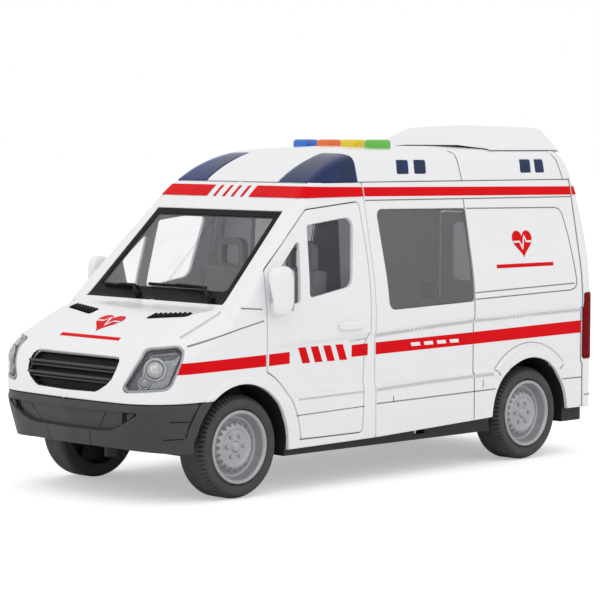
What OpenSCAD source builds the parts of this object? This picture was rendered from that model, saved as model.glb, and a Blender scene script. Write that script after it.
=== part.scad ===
// Toy ambulance van with opening cab doors, opening rear doors, four sound buttons
// on the roof and a geared flywheel on the rear axle.
// +X is the front of the van, +Y its left side, +Z up.
// The origin lies on the ground under the middle of the van.

/* [Body] */
// Length of the body from the bumper to the rear doors
body_len = 265; // [255:1:275]
// Width of the body over its sides
body_w = 102.4; // [98:0.2:108]
// Height of the roof above the ground
roof_h = 137.5; // [133:0.5:142]
// Thickness of the moulded shells
wall = 2.2; // [1.8:0.1:2.6]
// Height of the roof above the drip seam
roof_rise = 15.1; // [13:0.1:17]
// Width of the body at the drip seam
drip_w = 84.8; // [80:0.2:90]
// Height at which the sides start to lean in
belt_z = 77; // [72:0.5:80]
// Height of the sill behind the front wheels
sill_front_z = 17.1; // [16:0.1:18]
// Height of the sill at the rear doors
sill_rear_z = 20.5; // [18:0.1:21]
// Gap between the fixed shells
seam = 0.3; // [0.2:0.05:0.5]

/* [Cab] */
// Length of the cab from the bumper to the panel seam
cab_len = 124.2; // [120:0.2:128]
// Length from the bumper to the base of the windscreen
bonnet_len = 46.6; // [43:0.2:50]
// Height of the base of the windscreen
bonnet_z = 74.3; // [72:0.2:76]
// Height of the top edge of the front bumper
bumper_z = 39.3; // [37:0.1:41]
// Width of the windscreen at its base
screen_base_w = 83.4; // [78:0.2:86]
// Width of the windscreen at its top
screen_top_w = 75.6; // [70:0.2:78]
// Width of the black border round the windscreen
screen_border = 3.2; // [2:0.1:4.5]

/* [Wheels] */
// Distance between the axles
wheelbase = 172; // [166:0.5:176]
// Distance from the bumper to the front axle
front_overhang = 49.8; // [47:0.2:53]
// Radius of the tyres
tyre_r = 20.3; // [19:0.1:21.5]
// Width of the tyres
tyre_w = 13.8; // [12:0.1:15]
// Radius of the wheel trims
rim_r = 14.7; // [13:0.1:16]
// Radius of the axles
axle_r = 1.5; // [1.2:0.05:1.8]
// Radial clearance of a turning shaft in its bearing
run_fit = 0.06; // [0.03:0.01:0.1]
// Radial gap from the tyre to the wheel arch
arch_gap = 4.4; // [3.6:0.1:5.5]

/* [Doors] */
// Gap round a door
door_gap = 0.4; // [0.3:0.05:0.6]
// Length from the bumper to the front edge of a cab door
door_front = 62.9; // [61:0.1:65]
// Height of the bottom edge of a cab door
door_low_z = 21; // [20.5:0.1:23]
// Radius of the hinge pegs
peg_r = 0.7; // [0.5:0.05:0.8]
// Length of the hinge pegs
peg_len = 3; // [2:0.1:3.4]
// Half width of the pair of rear doors
rear_door_hw = 40.1; // [38:0.1:42]
// Height of the bottom edge of the rear doors
rear_door_low = 30.4; // [28:0.2:34]
// Height of the top edge of the rear doors
rear_door_top = 106; // [100:0.5:107]

/* [Buttons] */
// Width of a sound button across the van
button_w = 8.3; // [7:0.1:9.5]
// Length of a sound button along the van
button_l = 9; // [7:0.1:10.5]
// Distance between neighbouring buttons
button_pitch = 14.4; // [13.4:0.1:15]
// Height of a button above the roof
button_rise = 2.9; // [2.6:0.1:4]
// Travel of a button
button_travel = 1.2; // [0.8:0.1:1.4]
// Clearance round a button
button_fit = 0.25; // [0.15:0.05:0.4]

/* [Drive] */
// Gear module
gear_mod = 0.6; // [0.55:0.05:0.65]
// Teeth on each large gear
big_teeth = 24; // [22:2:26]
// Teeth on each pinion
small_teeth = 10; // [10:2:12]
// Radius of the flywheel
flywheel_r = 8; // [6.5:0.1:8.2]
// Width of the flywheel
flywheel_w = 6; // [4:0.1:6.5]
// Radius of the gear shafts
shaft_r = 1; // [0.8:0.05:1.1]

/* [Power] */
// Radius of a button cell
cell_r = 5.8; // [5:0.1:6]
// Thickness of a button cell
cell_h = 5.4; // [4:0.1:5.6]
// Shank radius of the screws
screw_r = 1; // [0.8:0.05:1.2]

/* [Hidden] */
$fn = 48;

white = "white";
black = "#232527";
grey = "#4a4d50";
clear = [0.75, 0.8, 0.85, 0.35];
big = 400;
hw = body_w / 2;
nose_x = body_len / 2;
tail_x = -body_len / 2;
axle_z = tyre_r;
front_x = nose_x - front_overhang;
rear_x = front_x - wheelbase;
arch_r = tyre_r + arch_gap;
wheel_out = hw - 1.7;
wheel_in = wheel_out - tyre_w;
drip_z = roof_h - roof_rise;
screen_x = nose_x - bonnet_len;
drip_x = screen_x - (drip_z - bonnet_z);
cab_x = nose_x - cab_len;
corner_x = tail_x + 7.3;

// Outline helpers
function unit(v) = v / norm(v);
// A corner [x, y, r] between its neighbours becomes an arc of radius r.
function fillet(a, p, b) =
    let (c = [p.x, p.y], u = unit([a.x, a.y] - c), w = unit([b.x, b.y] - c),
         half = acos(max(-1, min(1, u * w))) / 2, reach = p.z / tan(half),
         mid = c + unit(u + w) * p.z / sin(half), s = c + u * reach - mid,
         turn = 180 - 2 * half, way = sign(u.x * w.y - u.y * w.x), n = max(2, ceil(turn / 15)))
    p.z == 0 ? [c] : [for (i = [0:n]) let (t = -way * turn * i / n)
        mid + [s.x * cos(t) - s.y * sin(t), s.x * sin(t) + s.y * cos(t)]];
function rounded(k) = let (n = len(k))
    [for (i = [0:n - 1]) each fillet(k[(i + n - 1) % n], k[i], k[(i + 1) % n])];
// Outline of an anticlockwise corner list, with every edge moved inwards by d.
// An outer corner's radius shrinks by d, and an inner corner's grows by d.
function path(k, d = 0) = let (n = len(k)) rounded(
    [for (i = [0:n - 1])
        let (p = [k[i].x, k[i].y], q = k[(i + n - 1) % n], r = k[(i + 1) % n],
             e = unit(p - [q.x, q.y]), f = unit([r.x, r.y] - p), a = [-e.y, e.x], b = [-f.y, f.x],
             m = p + (a + b) * d / (1 + a * b), s = sign(e.x * f.y - e.y * f.x))
        [m.x, m.y, k[i].z == 0 ? 0 : max(0.2, k[i].z - s * d)]]);
function flip(k) = [for (p = k) [-p.x, p.y, p.z]];
function reversed(k) = [for (i = [len(k) - 1:-1:0]) k[i]];

// Side view of the body, anticlockwise
bumper_low = 21.4;
bumper_tuck = 4.4;
roof_front_x = drip_x - 26;
side_corners = [
    [tail_x, sill_rear_z, 0], [front_x - arch_r, sill_front_z, 0], [nose_x - 22, bumper_low - 1.6, 0],
    [nose_x - bumper_tuck, bumper_low, 1], [nose_x, bumper_z - 4, 8], [nose_x, bumper_z, 2],
    [nose_x - 2.2, bumper_z + 4, 0], [nose_x - 6.4, bumper_z + 17.6, 12],
    [nose_x - 28, bonnet_z - 3.6, 30], [screen_x, bonnet_z, 6], [drip_x - 1.2, drip_z + 1.2, 4],
    [roof_front_x - 4, roof_h, 20], [tail_x + 9.2, roof_h, 5], [tail_x + 3.2, drip_z + 1, 12],
    [tail_x, drip_z - 13, 12]];

// Cross section of the body, right half first
half_section = [[hw, -20, 0], [hw, belt_z, 50], [drip_w / 2, drip_z, 80],
    [drip_w / 2 - 3.6, roof_h - 1.9, 7], [12, roof_h + 0.3, 60]];
section_corners = concat(half_section, reversed(flip(half_section)));

// Plan view of the body
plan_corners = [[nose_x, -13, 60], [nose_x, 13, 60], [nose_x - 6.2, hw, 18], [tail_x, hw, 7],
    [tail_x, -hw, 7], [nose_x - 6.2, -hw, 18]];

module from_side(y0, y1) translate([0, y1, 0]) rotate([90, 0, 0]) linear_extrude(y1 - y0) children();
module from_front(x0, x1) translate([x0, 0, 0]) rotate([90, 0, 90]) linear_extrude(x1 - x0) children();
module from_top(z0, z1) translate([0, 0, z0]) linear_extrude(z1 - z0) children();
module block(lo, hi) translate(lo) cube(hi - lo);
module both() {
    children();
    mirror([0, 1, 0]) children();
}
module rod(r, y0, y1) translate([0, y1, 0]) rotate([90, 0, 0]) cylinder(r = r, h = y1 - y0);

// Chamfer between the bonnet and the wing, d inside the outer skin
bonnet_pitch = 25.8;
wing_roll = 34.6;
wing_chamfer = 5.2;
module wing_cut(d) both()
    translate([screen_x, hw - wing_chamfer, bonnet_z - 0.3]) rotate([0, bonnet_pitch, 0])
        rotate([-wing_roll, 0, 0]) translate([0, -40, -d]) cube([120, 90, 40]);
module body_solid(d) difference() {
    intersection() {
        from_side(-hw - 5, hw + 5) polygon(path(side_corners, d));
        from_front(tail_x - 5, nose_x + 5) polygon(path(section_corners, d));
        from_top(-5, roof_h + 10) polygon(path(plan_corners, d));
    }
    wing_cut(d);
}
// Space inside the shells, open below except under the bumper
module body_inside(d) {
    body_solid(d);
    intersection() {
        from_top(-5, 45) polygon(path(plan_corners, d));
        block([tail_x - 5, -hw + d, -5], [well_front + 0.6, hw - d, 45]);
    }
}
module shell(d0, d1) difference() {
    body_solid(d0);
    body_inside(d1);
}
module arches(r = arch_r) for (x = [front_x, rear_x]) translate([x, 0, axle_z]) rod(r, -big, big);

// Cab door
door_x = nose_x - door_front;
hinge_x = door_x - wall / 2;
hinge_y = hw - wall / 2;
door_sweep_r = arch_r + 6.8;
knuckle_z = belt_z - 5;
knuckle_h = 4;
boss_h = 5.5;
barrel_z = axle_z + sqrt(door_sweep_r ^ 2 - (hinge_x - front_x) ^ 2) + 1.6;
door_top_z = drip_z - 8;
pillar_foot_z = door_top_z - 26;
door_rear_x = cab_x + 2.6;
door_corners = [[door_rear_x + 5.4, door_low_z, 2], [door_x, door_low_z, 0],
    [door_x, pillar_foot_z, 3], [door_x - 27, door_top_z - 2.8, 3], [door_rear_x + 1, door_top_z, 2],
    [door_rear_x, door_top_z - 20, 0], [door_rear_x + 0.6, belt_z - 15, 1.5],
    [door_rear_x + 3.6, belt_z - 20, 2]];
window_corners = [[door_x - 48.1, door_top_z - 33.6, 5], [door_x - 23.6, door_top_z - 37.6, 1.5],
    [door_x - 26.6, door_top_z - 8.8, 1.5], [door_x - 53.6, door_top_z - 5.8, 3.5]];
quarter_corners = [[door_x - 18.1, door_top_z - 38.9, 1], [door_x - 14.6, door_top_z - 39.7, 1.5],
    [door_x - 9, door_top_z - 25.2, 1.5], [door_x - 21.3, door_top_z - 13.9, 1]];
door_in = max(drip_w / 2 - 1.2, screen_base_w / 2 - 0.5);
module door_area(g) from_side(door_in - g, big) difference() {
    polygon(path(door_corners, -g));
    translate([front_x, axle_z]) circle(r = door_sweep_r - g);
}
module hinge_rod(r, z0, z1) translate([hinge_x, hinge_y, z0]) cylinder(r = r, h = z1 - z0);

// Windscreen outline on its own sloping plane, u across and v up the slope
screen_foot = 1;
screen_len = (drip_z - 11 - bonnet_z) * sqrt(2);
screen_corners = [[-screen_base_w / 2, screen_foot, 3], [screen_base_w / 2, screen_foot, 3],
    [screen_top_w / 2, screen_len, 3], [-screen_top_w / 2, screen_len, 3]];
module on_screen() translate([screen_x, 0, bonnet_z]) rotate([45, 0, 90]) children();
module screen_area(g) on_screen() translate([0, 0, -12]) linear_extrude(20)
    polygon(path(screen_corners, g));

// Fronts: grille from the front, headlights from the corner, vents from above
grille_corners = [[-19.7, bumper_z + 4.4, 2], [19.7, bumper_z + 4.4, 2],
    [26.5, bumper_z + 16.8, 2], [-26.5, bumper_z + 16.8, 2]];
module grille_area(g) from_front(nose_x - 20, nose_x + 9) polygon(path(grille_corners, g));
lamp_corners = [[-16, bumper_z + 4.6, 2], [0, bumper_z + 6, 3], [5.3, bumper_z + 22.3, 1],
    [-6.4, bumper_z + 19.7, 4], [-11.4, bumper_z + 13.5, 3]];
module lamp_area(g) translate([nose_x - 12.9, hw - 2.2, 0]) rotate([0, 0, -45])
    rotate([90, 0, 180]) translate([0, 0, -12]) linear_extrude(30) polygon(path(lamp_corners, g));
vent_corners = [[nose_x - 34, 17, 1], [nose_x - 29.2, 17, 1], [nose_x - 33.6, 36, 1],
    [nose_x - 38.1, 36, 1]];
module vent_area(g) from_top(bonnet_z - 20, bonnet_z + 9) polygon(path(vent_corners, g));

module cab_shell() color(white) difference() {
    union() {
        difference() {
            intersection() {
                shell(0, wall);
                block([cab_x + seam / 2, -big, 0], [big, big, drip_z - seam / 2]);
            }
            block([front_x, -big, 0], [big, big, bumper_z + seam / 2]);
            both() door_area(door_gap);
            arches();
            screen_area(-seam / 2);
            grille_area(-seam / 2);
            both() lamp_area(-seam / 2);
            both() intersection() {
                vent_area(-seam / 2);
                shell(-1, 1.2);
            }
        }
        both() intersection() {
            hinge_rod(wall, barrel_z - boss_h, barrel_z - door_gap);
            body_solid(0);
        }
        both() hinge_rod(wall / 2, knuckle_z, knuckle_z + knuckle_h);
        both() block([hinge_x, hinge_y - wall / 2, knuckle_z],
            [door_x + door_gap + 1.5, hinge_y + wall / 2, knuckle_z + knuckle_h]);
    }
    both() hinge_rod(peg_r + run_fit, barrel_z - boss_h + 1, knuckle_z + knuckle_h + 1);
}

// Side panels between the cab seam and the rear corner
side_window_corners = [[cab_x - 8.3, belt_z - 7, 3.5], [cab_x - 6.4, drip_z - 11.3, 3],
    [cab_x - 61, drip_z - 11.8, 1.5], [cab_x - 60.5, belt_z - 5.7, 1.5]];
module side_window_area(g) from_side(0, big) polygon(path(side_window_corners, g));
flare_w = 6.1;
flare_rise = 0.7;
post_y = hw - wall - 3.4;
post_r = 2.8;
side_post_x = (cab_x + rear_x) / 2 + 20;
rear_post_x = corner_x - 1.5;
rear_post_y = rear_door_hw - 8;
front_post_x = nose_x - 27.5;
pan_z = 14.6;
pan_t = 2.2;
pan_top = pan_z + pan_t;
pilot_r = screw_r + 0.05;
screw_len = 9;
module screw_post(z0, z1) difference() {
    translate([0, 0, z0]) cylinder(r = post_r, h = z1 - z0);
    translate([0, 0, z0 - 1]) cylinder(r = pilot_r, h = screw_len);
}
module side_panel() {
    difference() {
        union() {
            intersection() {
                shell(0, wall);
                block([corner_x + seam / 2, 1, 0], [cab_x - seam / 2, big, drip_z - seam / 2]);
            }
            intersection() {
                translate([rear_x, 0, axle_z]) rod(arch_r + flare_w, hw - 0.5, hw + flare_rise);
                block([corner_x + seam / 2, 0, axle_z + 19], [cab_x - seam / 2, big, big]);
            }
        }
        side_window_area(-seam / 2);
        arches();
    }
    translate([side_post_x, post_y, 0]) screw_post(pan_top, pan_top + 12);
    block([side_post_x - 1.2, post_y + pilot_r + 0.8, pan_top + 3],
        [side_post_x + 1.2, hw - 0.5, pan_top + 12]);
}
module side_panel_left() color(white) side_panel();
module side_panel_right() color(white) mirror([0, 1, 0]) side_panel();
module side_windows() color(clear) both() intersection() {
    shell(0.8, wall);
    side_window_area(0);
}

// Rear corner frame round the rear doors
rear_hinge_x = tail_x + wall / 2;
rear_hinge_y = rear_door_hw - wall / 2;
tail_low_z = 42.2;
tail_top_z = 72;
module tail_area(g) block([tail_x - 5, rear_door_hw + 3.4 - g, tail_low_z - g],
    [corner_x - 0.4 + g, big, tail_top_z + g]);
module rear_hinge_rod(r, z0, z1) translate([rear_hinge_x, rear_hinge_y, z0]) cylinder(r = r, h = z1 - z0);
module rear_frame() color(white) {
    difference() {
        union() {
            difference() {
                intersection() {
                    shell(0, wall);
                    block([tail_x - 5, -big, 0], [corner_x - seam / 2, big, drip_z - seam / 2]);
                }
                block([tail_x - 5, -rear_door_hw - door_gap, rear_door_low - door_gap],
                    [corner_x, rear_door_hw + door_gap, rear_door_top + door_gap]);
                both() tail_area(seam / 2);
                arches();
            }
            both() intersection() {
                body_solid(0);
                union() {
                    rear_hinge_rod(wall, rear_door_low - door_gap - peg_len - 1, rear_door_low - door_gap);
                    rear_hinge_rod(wall, rear_door_top + door_gap, rear_door_top + door_gap + peg_len + 1);
                }
            }
        }
        both() rear_hinge_rod(peg_r + run_fit, rear_door_low - door_gap - peg_len - 0.4,
            rear_door_top + door_gap + peg_len + 0.4);
    }
    both() {
        translate([rear_post_x, rear_post_y, 0]) screw_post(pan_top, rear_door_low - 2);
        block([tail_x + 0.5, rear_post_y - 1.2, pan_top + 5],
            [rear_post_x - pilot_r - 0.8, rear_post_y + 1.2, rear_door_low - 2]);
    }
}
module tail_lights() color("#8a1418") both() intersection() {
    shell(0, wall);
    tail_area(0);
}

// Roof above the drip seam
beacon_in = 21.6;
beacon_rear = drip_x - 26.8;
module beacon_area(g) block([beacon_rear - g, beacon_in - g, drip_z - 5], [big, big, roof_h + 5]);
roof_window_x = [for (pair = [drip_x - 51.7, corner_x + 32.3]) each [pair, pair - 10.7]];
module roof_window_area(g) for (x = roof_window_x) from_side(0, big)
    polygon(path([[x, drip_z + 3.3, 0], [x - 0.9, drip_z + 8.9, 0],
        [x - 7.9, drip_z + 8.9, 0], [x - 7, drip_z + 3.3, 0]], g));
button_x = drip_x - 60.4;
button_y = [for (i = [-1.5:1.5]) i * button_pitch];
module roof_shell() color(white) difference() {
    intersection() {
        shell(0, wall);
        block([-big, -big, drip_z + seam / 2], [big, big, big]);
    }
    both() beacon_area(seam / 2);
    both() roof_window_area(-seam / 2);
    for (y = button_y) block([button_x - button_l / 2 - button_fit, y - button_w / 2 - button_fit, drip_z],
        [button_x + button_l / 2 + button_fit, y + button_w / 2 + button_fit, big]);
}
module beacon_lenses() color([0.1, 0.2, 0.6, 0.7]) both() intersection() {
    shell(0, 1.4);
    beacon_area(0);
    block([-big, 0, drip_z + seam / 2], [big, big, big]);
}
module beacon_lamps() color("#c9ccd2") both() {
    block([beacon_rear + 1.5, beacon_in + 2, drip_z - 1], [beacon_rear + 13, beacon_in + 12, drip_z + 5.5]);
    block([beacon_rear - wall, beacon_in + 1, drip_z - 1 - wall], [beacon_rear + 18, beacon_in + 14, drip_z - 1]);
    block([beacon_rear - wall, beacon_in + 1, drip_z - 1], [beacon_rear - seam, beacon_in + 9, roof_h - 4.6]);
}
module roof_window_lenses() color([0.1, 0.2, 0.6, 0.7]) both() intersection() {
    shell(0, 1.6);
    roof_window_area(0);
}
fairing_front = corner_x + 47.6;
fairing_rear = corner_x;
fairing_rise = 9.2;
fairing_hw = 36.5;
fairing_top_hw = 29.2;
module roof_fairing() color(white) difference() {
    intersection() {
        from_side(-hw, hw) polygon(rounded([[fairing_rear, drip_z + 12, 0], [fairing_front, roof_h - 3, 0],
            [fairing_front - 0.5, roof_h - 0.8, 0], [fairing_front - 22, roof_h + fairing_rise, 6],
            [fairing_rear + 5.8, roof_h + fairing_rise - 1, 3]]));
        from_front(tail_x, nose_x) polygon(rounded([[-fairing_hw, drip_z + 10, 0],
            [fairing_hw, drip_z + 10, 0], [fairing_hw, roof_h - 2.6, 2],
            [fairing_top_hw, roof_h + fairing_rise - 1.6, 3], [0, roof_h + fairing_rise, 200],
            [-fairing_top_hw, roof_h + fairing_rise - 1.6, 3], [-fairing_hw, roof_h - 2.6, 2]]));
    }
    body_solid(-0.02);
}

// Front end
bumper_rib_hw = 6;
intake_depth = 0.9;
intake_corners = [[-27, bumper_z - 11.4, 12], [27, bumper_z - 11.4, 12], [40.3, bumper_z - 3.4, 1.5],
    [-40.3, bumper_z - 3.4, 1.5]];
module front_bumper() color(grey) {
    difference() {
        intersection() {
            shell(0, wall);
            block([front_x, -big, 0], [big, big, bumper_z - seam / 2]);
        }
        arches();
        intersection() {
            shell(-1, intake_depth);
            from_front(nose_x - 20, big) polygon(path(intake_corners));
        }
    }
    translate([front_post_x, 0, 0]) screw_post(nose_z + pan_t, bumper_z - 3);
    intersection() {
        block([front_post_x + pilot_r + 0.8, -bumper_rib_hw, nose_z + pan_t + 1],
            [nose_x, bumper_rib_hw, bumper_z - 4]);
        body_solid(wall / 2);
    }
}
grille_pitch = 2.6;
module grille() color(black) difference() {
    intersection() {
        shell(0.8, wall + 0.6);
        grille_area(0);
    }
    intersection() {
        shell(0, 1.8);
        for (z = [bumper_z + 6.6:grille_pitch:bumper_z + 15])
            block([nose_x - 20, -21, z], [big, 21, z + grille_pitch / 2]);
    }
}
module headlight_lenses() color(clear) both() intersection() {
    shell(0, 1.2);
    lamp_area(0);
}
module headlight_reflectors() color("#b9bcc0") both() intersection() {
    shell(1.5, wall + 0.8);
    lamp_area(0.4);
}
vent_pitch = 2.4;
module bonnet_vents() color(black) both() difference() {
    intersection() {
        shell(0.1, 1.1);
        vent_area(0);
    }
    intersection() {
        shell(-1, 0.7);
        for (y = [18.6:vent_pitch:34]) block([nose_x - 60, y, bonnet_z - 20], [nose_x, y + 1, bonnet_z + 9]);
    }
}
module windscreen() color(clear) intersection() {
    shell(0.5, 1.8);
    screen_area(screen_border);
}
module windscreen_surround() color(black) intersection() {
    shell(0.2, wall);
    difference() {
        screen_area(0);
        screen_area(screen_border - seam / 2);
    }
}
wiper_len = 30;
module wipers() color(black) for (y = [-27, 6]) on_screen() translate([y, 3, 0]) {
    translate([0, 0, -0.1]) cylinder(r = 1.6, h = 2.1);
    rotate([0, 0, 8]) {
        translate([0, -0.6, 0.9]) cube([wiper_len * 0.6, 1.2, 0.9]);
        translate([6, 0.5, 0.1]) cube([wiper_len - 8, 1, 1.7]);
    }
}

// Chassis with wheel wells, bearings, battery box and gearbox opening
well_in = wheel_in - 2.2;
well_t = 1.6;
well_r = arch_r + 0.2;
bearing_r = 4;
pan_fit = 0.4;
pan_rim = 1.6;
pan_rim_z = pan_z + 9.4;
well_front = front_x + well_r + well_t;
nose_step_x = front_x + bearing_r;
nose_z = bumper_low - 0.2;
boss_r = 3.8;
post_room = post_r + 0.4;
box_x = cab_x + 14;
box_hx = cell_r + 0.3;
box_hy = 1.5 * cell_h + 0.4;
box_wall = 2.8;
box_top = pan_top + 2 * cell_r + 0.6;
cover_end = box_hy + 9;
pad_drop = 0.4;
module pan_plate(d) intersection() {
    from_top(pan_z, big) polygon(path(plan_corners, wall + pan_fit + d));
    block([tail_x + wall + pan_fit + d, -big, 0], [nose_step_x + 2, big, big]);
}
module wheel_spaces(r, y) both() for (x = [front_x, rear_x]) translate([x, 0, axle_z]) rod(r, y, big);
case_front = 30;
case_rear = 11;
case_hy = 13.6;
case_wall = 1.6;
case_top = axle_z + 20.6;
sump_hx = gear_mod * (big_teeth / 2 + 1) + 2.2;
sump_z = axle_z - gear_mod * (big_teeth / 2 + 1) - 1.9;
gear_y = 1.5;
gear_w = 3;
module sump(g, z0) block([rear_x - sump_hx - g, gear_y - 1.8 - g, z0],
    [rear_x + sump_hx + g, gear_y + gear_w + 1.8 + g, pan_top + 1]);
module chassis_pan() color(black) difference() {
    union() {
        difference() {
            intersection() {
                pan_plate(0);
                block([-big, -big, 0], [big, big, pan_rim_z]);
            }
            difference() {
                pan_plate(pan_rim);
                block([-big, -big, 0], [big, big, pan_top]);
            }
            both() {
                block([side_post_x - post_room, post_y - post_room, pan_top], [side_post_x + post_room, big, big]);
                block([tail_x, rear_post_y - post_room, pan_top],
                    [rear_post_x + post_room, rear_post_y + post_room, big]);
            }
        }
        block([rear_x + 30, -28, pan_z - pad_drop], [box_x - box_hx - 8, 28, pan_top]);
        intersection() {
            wheel_spaces(well_r + well_t, well_in - well_t);
            both() {
                block([-big, 0, pan_z], [nose_step_x + 2, hw - wall - pan_fit, big]);
                block([nose_step_x, 0, nose_z], [big, hw - wall - pan_fit, big]);
            }
        }
        block([nose_step_x, -well_in, pan_z], [nose_step_x + 2, well_in, nose_z + pan_t]);
        block([nose_step_x, -well_in, nose_z], [well_front, well_in, nose_z + pan_t]);
        translate([front_post_x, 0, pan_z - pad_drop]) cylinder(r = boss_r, h = nose_z - pan_z + pan_t);
        both() for (x = [front_x, rear_x]) translate([x, 0, axle_z]) {
            rod(bearing_r, well_in - 6, well_in);
            block([-bearing_r, well_in - 6, pan_z - axle_z], [bearing_r, well_in, 0]);
        }
        block([box_x - box_hx - box_wall, -box_hy - box_wall, pan_z],
            [box_x + box_hx + box_wall, cover_end + 1, box_top + 1.6]);
    }
    wheel_spaces(well_r, well_in);
    both() for (x = [front_x, rear_x]) translate([x, 0, axle_z]) rod(axle_r + run_fit, 0, big);
    block([box_x - box_hx, -box_hy, 0], [box_x + box_hx, box_hy, box_top]);
    block([box_x - box_hx - 1.2, -box_hy - 1.2, 0], [box_x + box_hx + 1.2, cover_end, pan_z + 2]);
    for (y = [-lead_y, lead_y]) translate([box_x, y, box_top - 1]) cylinder(r = lead_r + 0.3, h = 5);
    translate([box_x, cover_end - 3.5, 0]) cylinder(r = pilot_r, h = pan_z + 2 + screw_len);
    sump(0.3, 0);
    for (p = post_places) translate([p.x, p.y, 0]) {
        cylinder(r = screw_r + 0.3, h = p.z + 8);
        cylinder(r = 2.3, h = p.z + 0.9);
    }
    for (i = [0:7]) translate([speaker_x + 7 * cos(45 * i), 7 * sin(45 * i), 0]) cylinder(r = 1.2, h = 30);
}
post_places = [[front_post_x, 0, nose_z], [side_post_x, post_y, pan_z], [side_post_x, -post_y, pan_z],
    [rear_post_x, rear_post_y, pan_z], [rear_post_x, -rear_post_y, pan_z]];
module screw(z) translate([0, 0, z]) difference() {
    union() {
        cylinder(r = 2, h = 0.9);
        cylinder(r = screw_r, h = screw_len - 1);
    }
    block([-0.3, -1.4, -1], [0.3, 1.4, 0.4]);
    block([-1.4, -0.3, -1], [1.4, 0.3, 0.4]);
}
module case_screws() color("silver") {
    for (p = post_places) translate([p.x, p.y, 0]) screw(p.z);
    translate([box_x, cover_end - 3.5, 0]) screw(pan_z + 0.1);
}
module battery_cover() color(black) difference() {
    block([box_x - box_hx - 1, -box_hy - 1, pan_z + 0.2], [box_x + box_hx + 1, cover_end - 0.2, pan_z + 1.9]);
    translate([box_x, cover_end - 3.5, 0]) {
        cylinder(r = screw_r + 0.15, h = 40);
        cylinder(r = 2.2, h = pan_z + 1.05);
    }
    for (i = [-1:1]) block([box_x + 2.4 * i - 0.5, -box_hy + 1, 0],
        [box_x + 2.4 * i + 0.5, -box_hy + 5, pan_z + 0.7]);
}
module battery_cells() color("silver") for (i = [-1:1])
    translate([box_x, i * cell_h, pan_top + cell_r + 0.1]) rod(cell_r, -cell_h / 2 + 0.05, cell_h / 2 - 0.05);
speaker_x = box_x - 46;
speaker_r = 13;
module speaker() color("#303236") difference() {
    translate([speaker_x, 0, pan_top]) {
        cylinder(r = speaker_r, h = 3);
        cylinder(r = speaker_r - 4, h = 7);
    }
    translate([speaker_x, 0, 0]) cylinder(r = speaker_r - 4, h = pan_top + 1.6);
}

// Friction drive
function involute(rb, t) = rb * [cos(t) + t * PI / 180 * sin(t), sin(t) - t * PI / 180 * cos(t)];
pressure = 25;
function flank(rb, r) = acos(min(1, rb / r));
function inv_deg(a) = tan(a) * 180 / PI - a;
// Stub toothed outline: root arc, involute flank, tip, flank
function gear_outline(n) = let (rp = gear_mod * n / 2, rb = rp * cos(pressure), ra = rp + 0.75 * gear_mod,
    rr = rp - 1.05 * gear_mod, thick = 90 / n * 0.92, lead = inv_deg(pressure), r0 = max(rb, rr))
    [for (k = [0:n - 1]) let (c = 360 * k / n) each concat(
        [let (a = c - thick - lead) rr * [cos(a - 1), sin(a - 1)]],
        [for (i = [0:4]) let (r = r0 + (ra - r0) * i / 4, a = c - thick - lead + inv_deg(flank(rb, r)))
            r * [cos(a), sin(a)]],
        [for (i = [4:-1:0]) let (r = r0 + (ra - r0) * i / 4, a = c + thick + lead - inv_deg(flank(rb, r)))
            r * [cos(a), sin(a)]],
        [let (a = c + thick + lead) rr * [cos(a + 1), sin(a + 1)]])];
module gear(n, y0, y1, turn) from_side(y0, y1) rotate(turn) polygon(gear_outline(n));
centre_d = gear_mod * (big_teeth + small_teeth) / 2;
idler_tilt = 40;
wheel_tilt = 10;
idler_x = rear_x + centre_d * cos(idler_tilt);
idler_z = axle_z + centre_d * sin(idler_tilt);
fly_x = idler_x + centre_d * cos(wheel_tilt);
fly_z = idler_z + centre_d * sin(wheel_tilt);
second_y = -3.5;
module axle_gear() color("ivory") translate([rear_x, 0, axle_z]) difference() {
    union() {
        gear(big_teeth, gear_y, gear_y + gear_w, idler_tilt);
        rod(axle_r + 1.6, gear_y - 0.5, gear_y + gear_w + 0.5);
    }
    rod(axle_r + 0.02, -big, big);
}
module idler_gear() color("ivory") translate([idler_x, 0, idler_z]) {
    gear(small_teeth, gear_y - 0.5, gear_y + gear_w + 0.5, idler_tilt + 180 + 180 / small_teeth);
    gear(big_teeth, second_y, second_y + gear_w, wheel_tilt);
    rod(shaft_r + 0.7, second_y - 0.5, gear_y);
    rod(shaft_r, -case_hy + 0.3, case_hy - 0.3);
}
module flywheel() color("silver") translate([fly_x, 0, fly_z]) {
    gear(small_teeth, second_y - 0.4, second_y + gear_w + 0.4, wheel_tilt + 180 + 180 / small_teeth);
    rod(flywheel_r, second_y - 1.6 - flywheel_w, second_y - 1.6);
    rod(shaft_r, -case_hy + 0.3, case_hy - 0.3);
    rod(shaft_r + 0.6, second_y - 2, second_y);
}
module gearbox_case() color("#3b3e42") difference() {
    union() {
        block([rear_x - case_rear, -case_hy, pan_top], [rear_x + case_front, case_hy, case_top]);
        sump(0, sump_z);
    }
    block([rear_x - case_rear + case_wall, -case_hy + case_wall, pan_top + case_wall],
        [rear_x + case_front - case_wall, case_hy - case_wall, case_top - case_wall]);
    block([rear_x - sump_hx + 1.2, gear_y - 0.6, sump_z + 1.2],
        [rear_x + sump_hx - 1.2, gear_y + gear_w + 0.6, pan_top + 3]);
    translate([rear_x, 0, axle_z]) rod(axle_r + run_fit, -big, big);
    translate([idler_x, 0, idler_z]) rod(shaft_r + run_fit, -big, big);
    translate([fly_x, 0, fly_z]) rod(shaft_r + run_fit, -big, big);
}

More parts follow.
